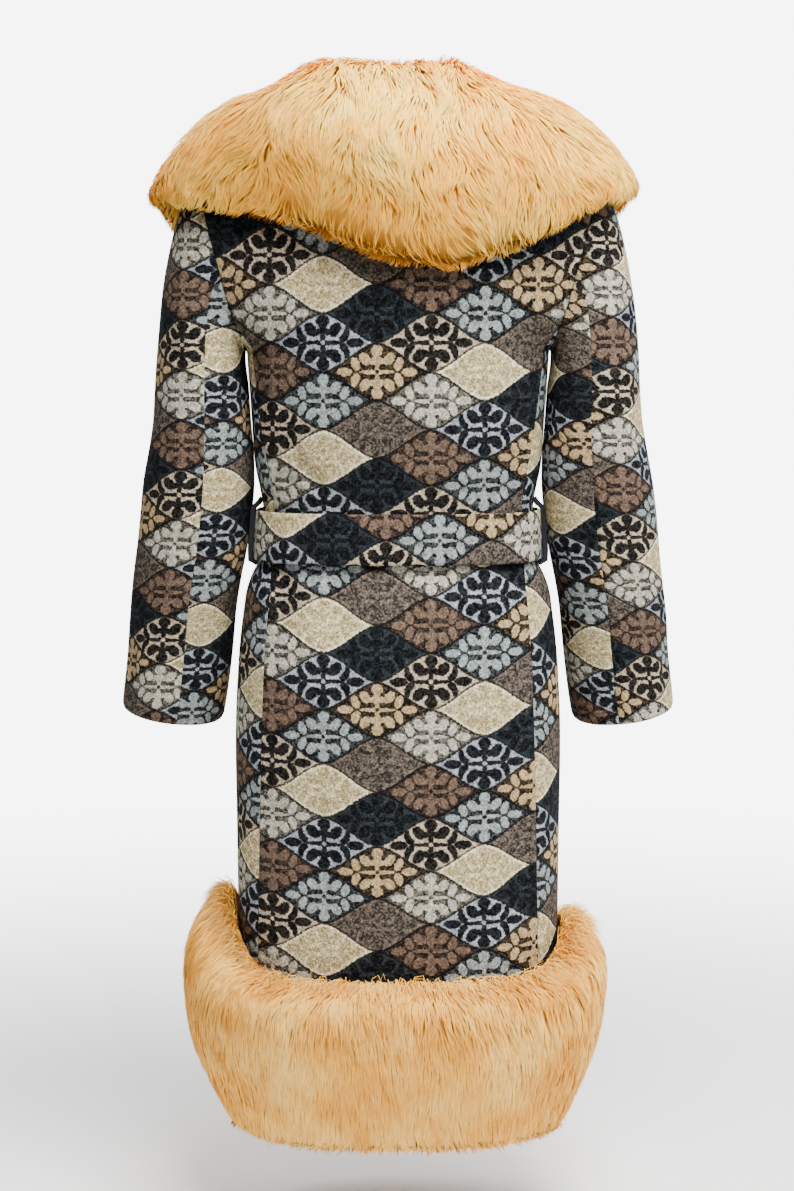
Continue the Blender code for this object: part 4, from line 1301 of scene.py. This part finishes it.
def make_belt(face):
    lap = math.degrees(BELT_LAP / BELT_TOP[2])
    start, end = 180 - lap / 2, 540 + lap / 2
    grid = []
    for share in (0.0, 0.25, 0.5, 0.75, 1.0):
        line = []
        for i in range(BELT_SECTIONS * 2 + 1):
            around = start + (end - start) * i / (BELT_SECTIONS * 2)
            over = float(ease(around, end - lap * 1.9, end - lap * 1.12)) * (BELT_THICKNESS + 2 * BELT_INSET)
            left = math.radians(end - around) * BELT_TOP[2]
            narrow = 0.5 * (1 - min(left / BELT_TIP, 1.0)) * 0.72
            kept = narrow + share * (1 - 2 * narrow)
            line.append(tuple(belt_point(around, kept, over + BELT_THICKNESS)))
        grid.append(line)
    grid = refined(np.array(grid), 3, 2)
    normals = grid_normals(grid, body_middle)
    share = np.linspace(-1, 1, grid.shape[0])[:, None]
    wave = ripples(row_arc(grid), grid[..., 2], *BELT_RIPPLE)
    grid = grid + normals * (wave * (1 - share**4) - BELT_INSET)[..., None]
    middle = np.argmin(np.where(grid[0, :, 1] > 0, np.abs(grid[0, :, 0]), BELT_TOP[0]))
    grid = rolled(grid, normals)
    # Two more lines stand before the middle, from the rolled edge
    arc = row_arc(grid)
    arc = arc - arc[:, [middle + 2]]
    toward = np.sign(grid[0, middle + 12, 0] - grid[0, middle - 8, 0])
    column, row, x, z = BELT_PHASE
    columns = column + (x - toward * arc) / COLUMN_PITCH
    rows = row + (z - grid[..., 2]) / BELT_ROW_PITCH
    places = np.stack([columns, rows], axis=2)
    obj = sheet_mesh("belt_band", grid, places, (face,), BELT_THICKNESS - 2 * BELT_INSET)
    facing_out(obj, lambda p: Vector((0, 0, p[2])))
    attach(obj, "root")
    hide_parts("belt")


def make_loops(wool):
    for label in ("left", "right"):
        bm = joined(f"belt_loop_{label}")
        mesh = bpy.data.meshes.new(f"belt_carrier_{label}")
        for vert in bm.verts:
            vert.co = vert.co + vert.normal * LOOP_SWELL
        bm.to_mesh(mesh)
        bm.free()
        mesh.shade_smooth()
        mesh.set_sharp_from_angle(angle=math.radians(50))
        mesh.materials.append(wool)
        obj = placed(f"belt_carrier_{label}", mesh)
        round_off = obj.modifiers.new("round", "BEVEL")
        round_off.width = 0.0005
        round_off.segments = 2
        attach(obj, "root")
        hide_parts(f"belt_loop_{label}")


def rim_piece(name, pelt, count, material, seed):
    """Short hair that stands up along the top of the hem fur, over its edge, and falls outward."""
    rng = np.random.default_rng(seed)

    def weight(centres, normals):
        half_width, back, front = body_size(CLOTH_HEM_Z)
        x, y = centres[:, 0] / half_width, centres[:, 1] / np.where(centres[:, 1] > 0, back, front)
        around = (np.abs(x) ** BODY_EXPONENT + np.abs(y) ** BODY_EXPONENT) ** (1 / BODY_EXPONENT)
        return np.where((normals[:, 2] > 0.25) & (around < 1.12), 1.0, 0.0)

    roots, normals = pelt.roots(count, weight, rng)
    out = outward(roots)
    stray = rng.normal(0, RIM_STRAY, (count, 3))
    first = UP * 0.35 + out * 0.65 + stray
    last = out * 0.6 - UP + stray
    lengths = rng.uniform(*RIM_LENGTHS, count)[:, None]
    line = [roots - normals * 0.004]
    for k in range(3):
        line.append(line[-1] + unit(first + (last - first) * (k / 2)) * lengths / 3)
    lines = np.stack(line, axis=1)
    facing = np.repeat((out * 0.7 + UP * 0.7)[:, None], 4, axis=1)
    tones = (rng.random(count), rng.uniform(0.7, 1.0, count), np.ones(count))
    obj = hair_mesh(name, lines, facing, rng.uniform(*RIM_WIDTHS, count), tones, material, rng)
    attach(obj, "root")


def make_fur():
    collar_fur = fur_material("collar_fur", (255, 158, 40), (255, 188, 58), (255, 224, 112), 9.0)
    hem_fur = fur_material("hem_fur", (184, 112, 34), (240, 170, 60), (255, 212, 112), 16.0)
    share, wide = ((1.0, 1.0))
    hairs, width = int(HAIRS * share), HAIR_WIDTH * wide
    collar = Pelt("fur_collar", collar_comb, ((0.060, 1.5, 3.0), (0.022, 0.9, 8.0)))
    skin_piece("collar_skin", collar, "fur_collar", SKIN_DEPTH, collar_fur)
    for k in range(2):
        fur_piece(
            f"collar_hair_{k + 1}", collar, hairs, collar_weight, 0.036, HAIR_HEIGHTS, width, 0.62, 0.18,
            (int(1500 * share) + 60, 0.40), collar_fur, (-0.05, 0.55), 11 + k,
        )
    hem = Pelt("fur_hem", hem_comb, ((0.050, 0.5, 1.0), (0.016, 0.45, 5.0)))
    skin_piece("hem_skin", hem, "fur_hem", SKIN_DEPTH, hem_fur)
    for k in range(2):
        fur_piece(
            f"hem_hair_{k + 1}", hem, hairs, hem_weight, 0.038, HAIR_HEIGHTS, width, 0.55, 0.25,
            (int(1300 * share) + 60, 0.45), hem_fur, (-0.8, -0.2), 31 + k,
        )
    rim_piece("hem_rim_hair", hem, int(RIM_HAIRS * share), hem_fur, 51)


# Stage


FLOOR_Z = -1.10
# Strength of the studio's white on the coat, and as the camera sees it
WORLD_LIT = 0.32
WORLD_SEEN = 7.0
# Lamps: name, place, size and power
LAMPS = (
    ("key", (-0.5, 1.3, 1.75), 1.6, 225.0),
    ("fill", (-2.2, 1.5, 1.2), 2.2, 75.0),
    ("front_key", (1.2, -2.4, 2.0), 2.0, 130.0),
    ("front_fill", (-2.2, -1.8, 0.3), 2.2, 60.0),
)
LAMP_AIM = (0.0, 0.0, -0.45)
# The photo's height and scale, and where it was taken from
PHOTO_PIXELS = 1191
METRES_A_PIXEL = 0.00105
SENSOR = 36.0
CAMERA_LIFT = 5.5
CAMERA_REACH = 2.8
CAMERA_AIM = (0.001, 0.0, -0.447)


def make_stage():
    bpy.ops.mesh.primitive_plane_add(size=9.0, location=(0, 0, FLOOR_Z))
    floor = bpy.context.object
    floor.name = "floor"
    material, tree, shader = shaded_material("pale_floor", 0.9)
    shader.inputs["Base Color"].default_value = (0.93, 0.93, 0.92, 1.0)
    where = put(tree, "TexCoord").outputs["Object"]
    tree.links.new(between(tree, distance(tree, where), 0.7, 2.6, 1.0, 0.0), shader.inputs["Alpha"])
    floor.data.materials.append(material)
    world = bpy.data.worlds.new("studio")
    world.use_nodes = True
    tree = world.node_tree
    lit = tree.nodes["Background"]
    lit.inputs[0].default_value = (1.0, 1.0, 1.0, 1.0)
    lit.inputs[1].default_value = WORLD_LIT
    seen = put(tree, "Background", (1.0, 1.0, 1.0, 1.0), WORLD_SEEN)
    pick = put(tree, "MixShader", put(tree, "LightPath").outputs["Is Camera Ray"])
    tree.links.new(lit.outputs[0], pick.inputs[1])
    tree.links.new(seen.outputs[0], pick.inputs[2])
    tree.links.new(pick.outputs[0], tree.nodes["World Output"].inputs["Surface"])
    bpy.context.scene.world = world
    for name, place, size, power in LAMPS:
        data = bpy.data.lights.new(name, "AREA")
        data.energy = power
        data.size = size
        lamp = placed(name, data)
        lamp.location = place
        lamp.rotation_euler = (Vector(LAMP_AIM) - Vector(place)).to_track_quat("-Z", "Y").to_euler()


def make_camera():
    """Behind the coat and a little above it, at the photo's scale."""
    lift = math.radians(CAMERA_LIFT)
    toward = Vector((0.0, math.cos(lift), math.sin(lift)))
    data = bpy.data.cameras.new("camera")
    data.sensor_fit = "AUTO"
    data.sensor_width = SENSOR
    data.lens = SENSOR * CAMERA_REACH / (PHOTO_PIXELS * METRES_A_PIXEL)
    camera = placed("camera", data)
    camera.location = Vector(CAMERA_AIM) + toward * CAMERA_REACH
    camera.rotation_euler = (-toward).to_track_quat("-Z", "Y").to_euler()
    bpy.context.scene.camera = camera


make_camera()
make_stage()
face = make_cloth()
make_belt(face)
make_loops(wool_material())
make_fur()
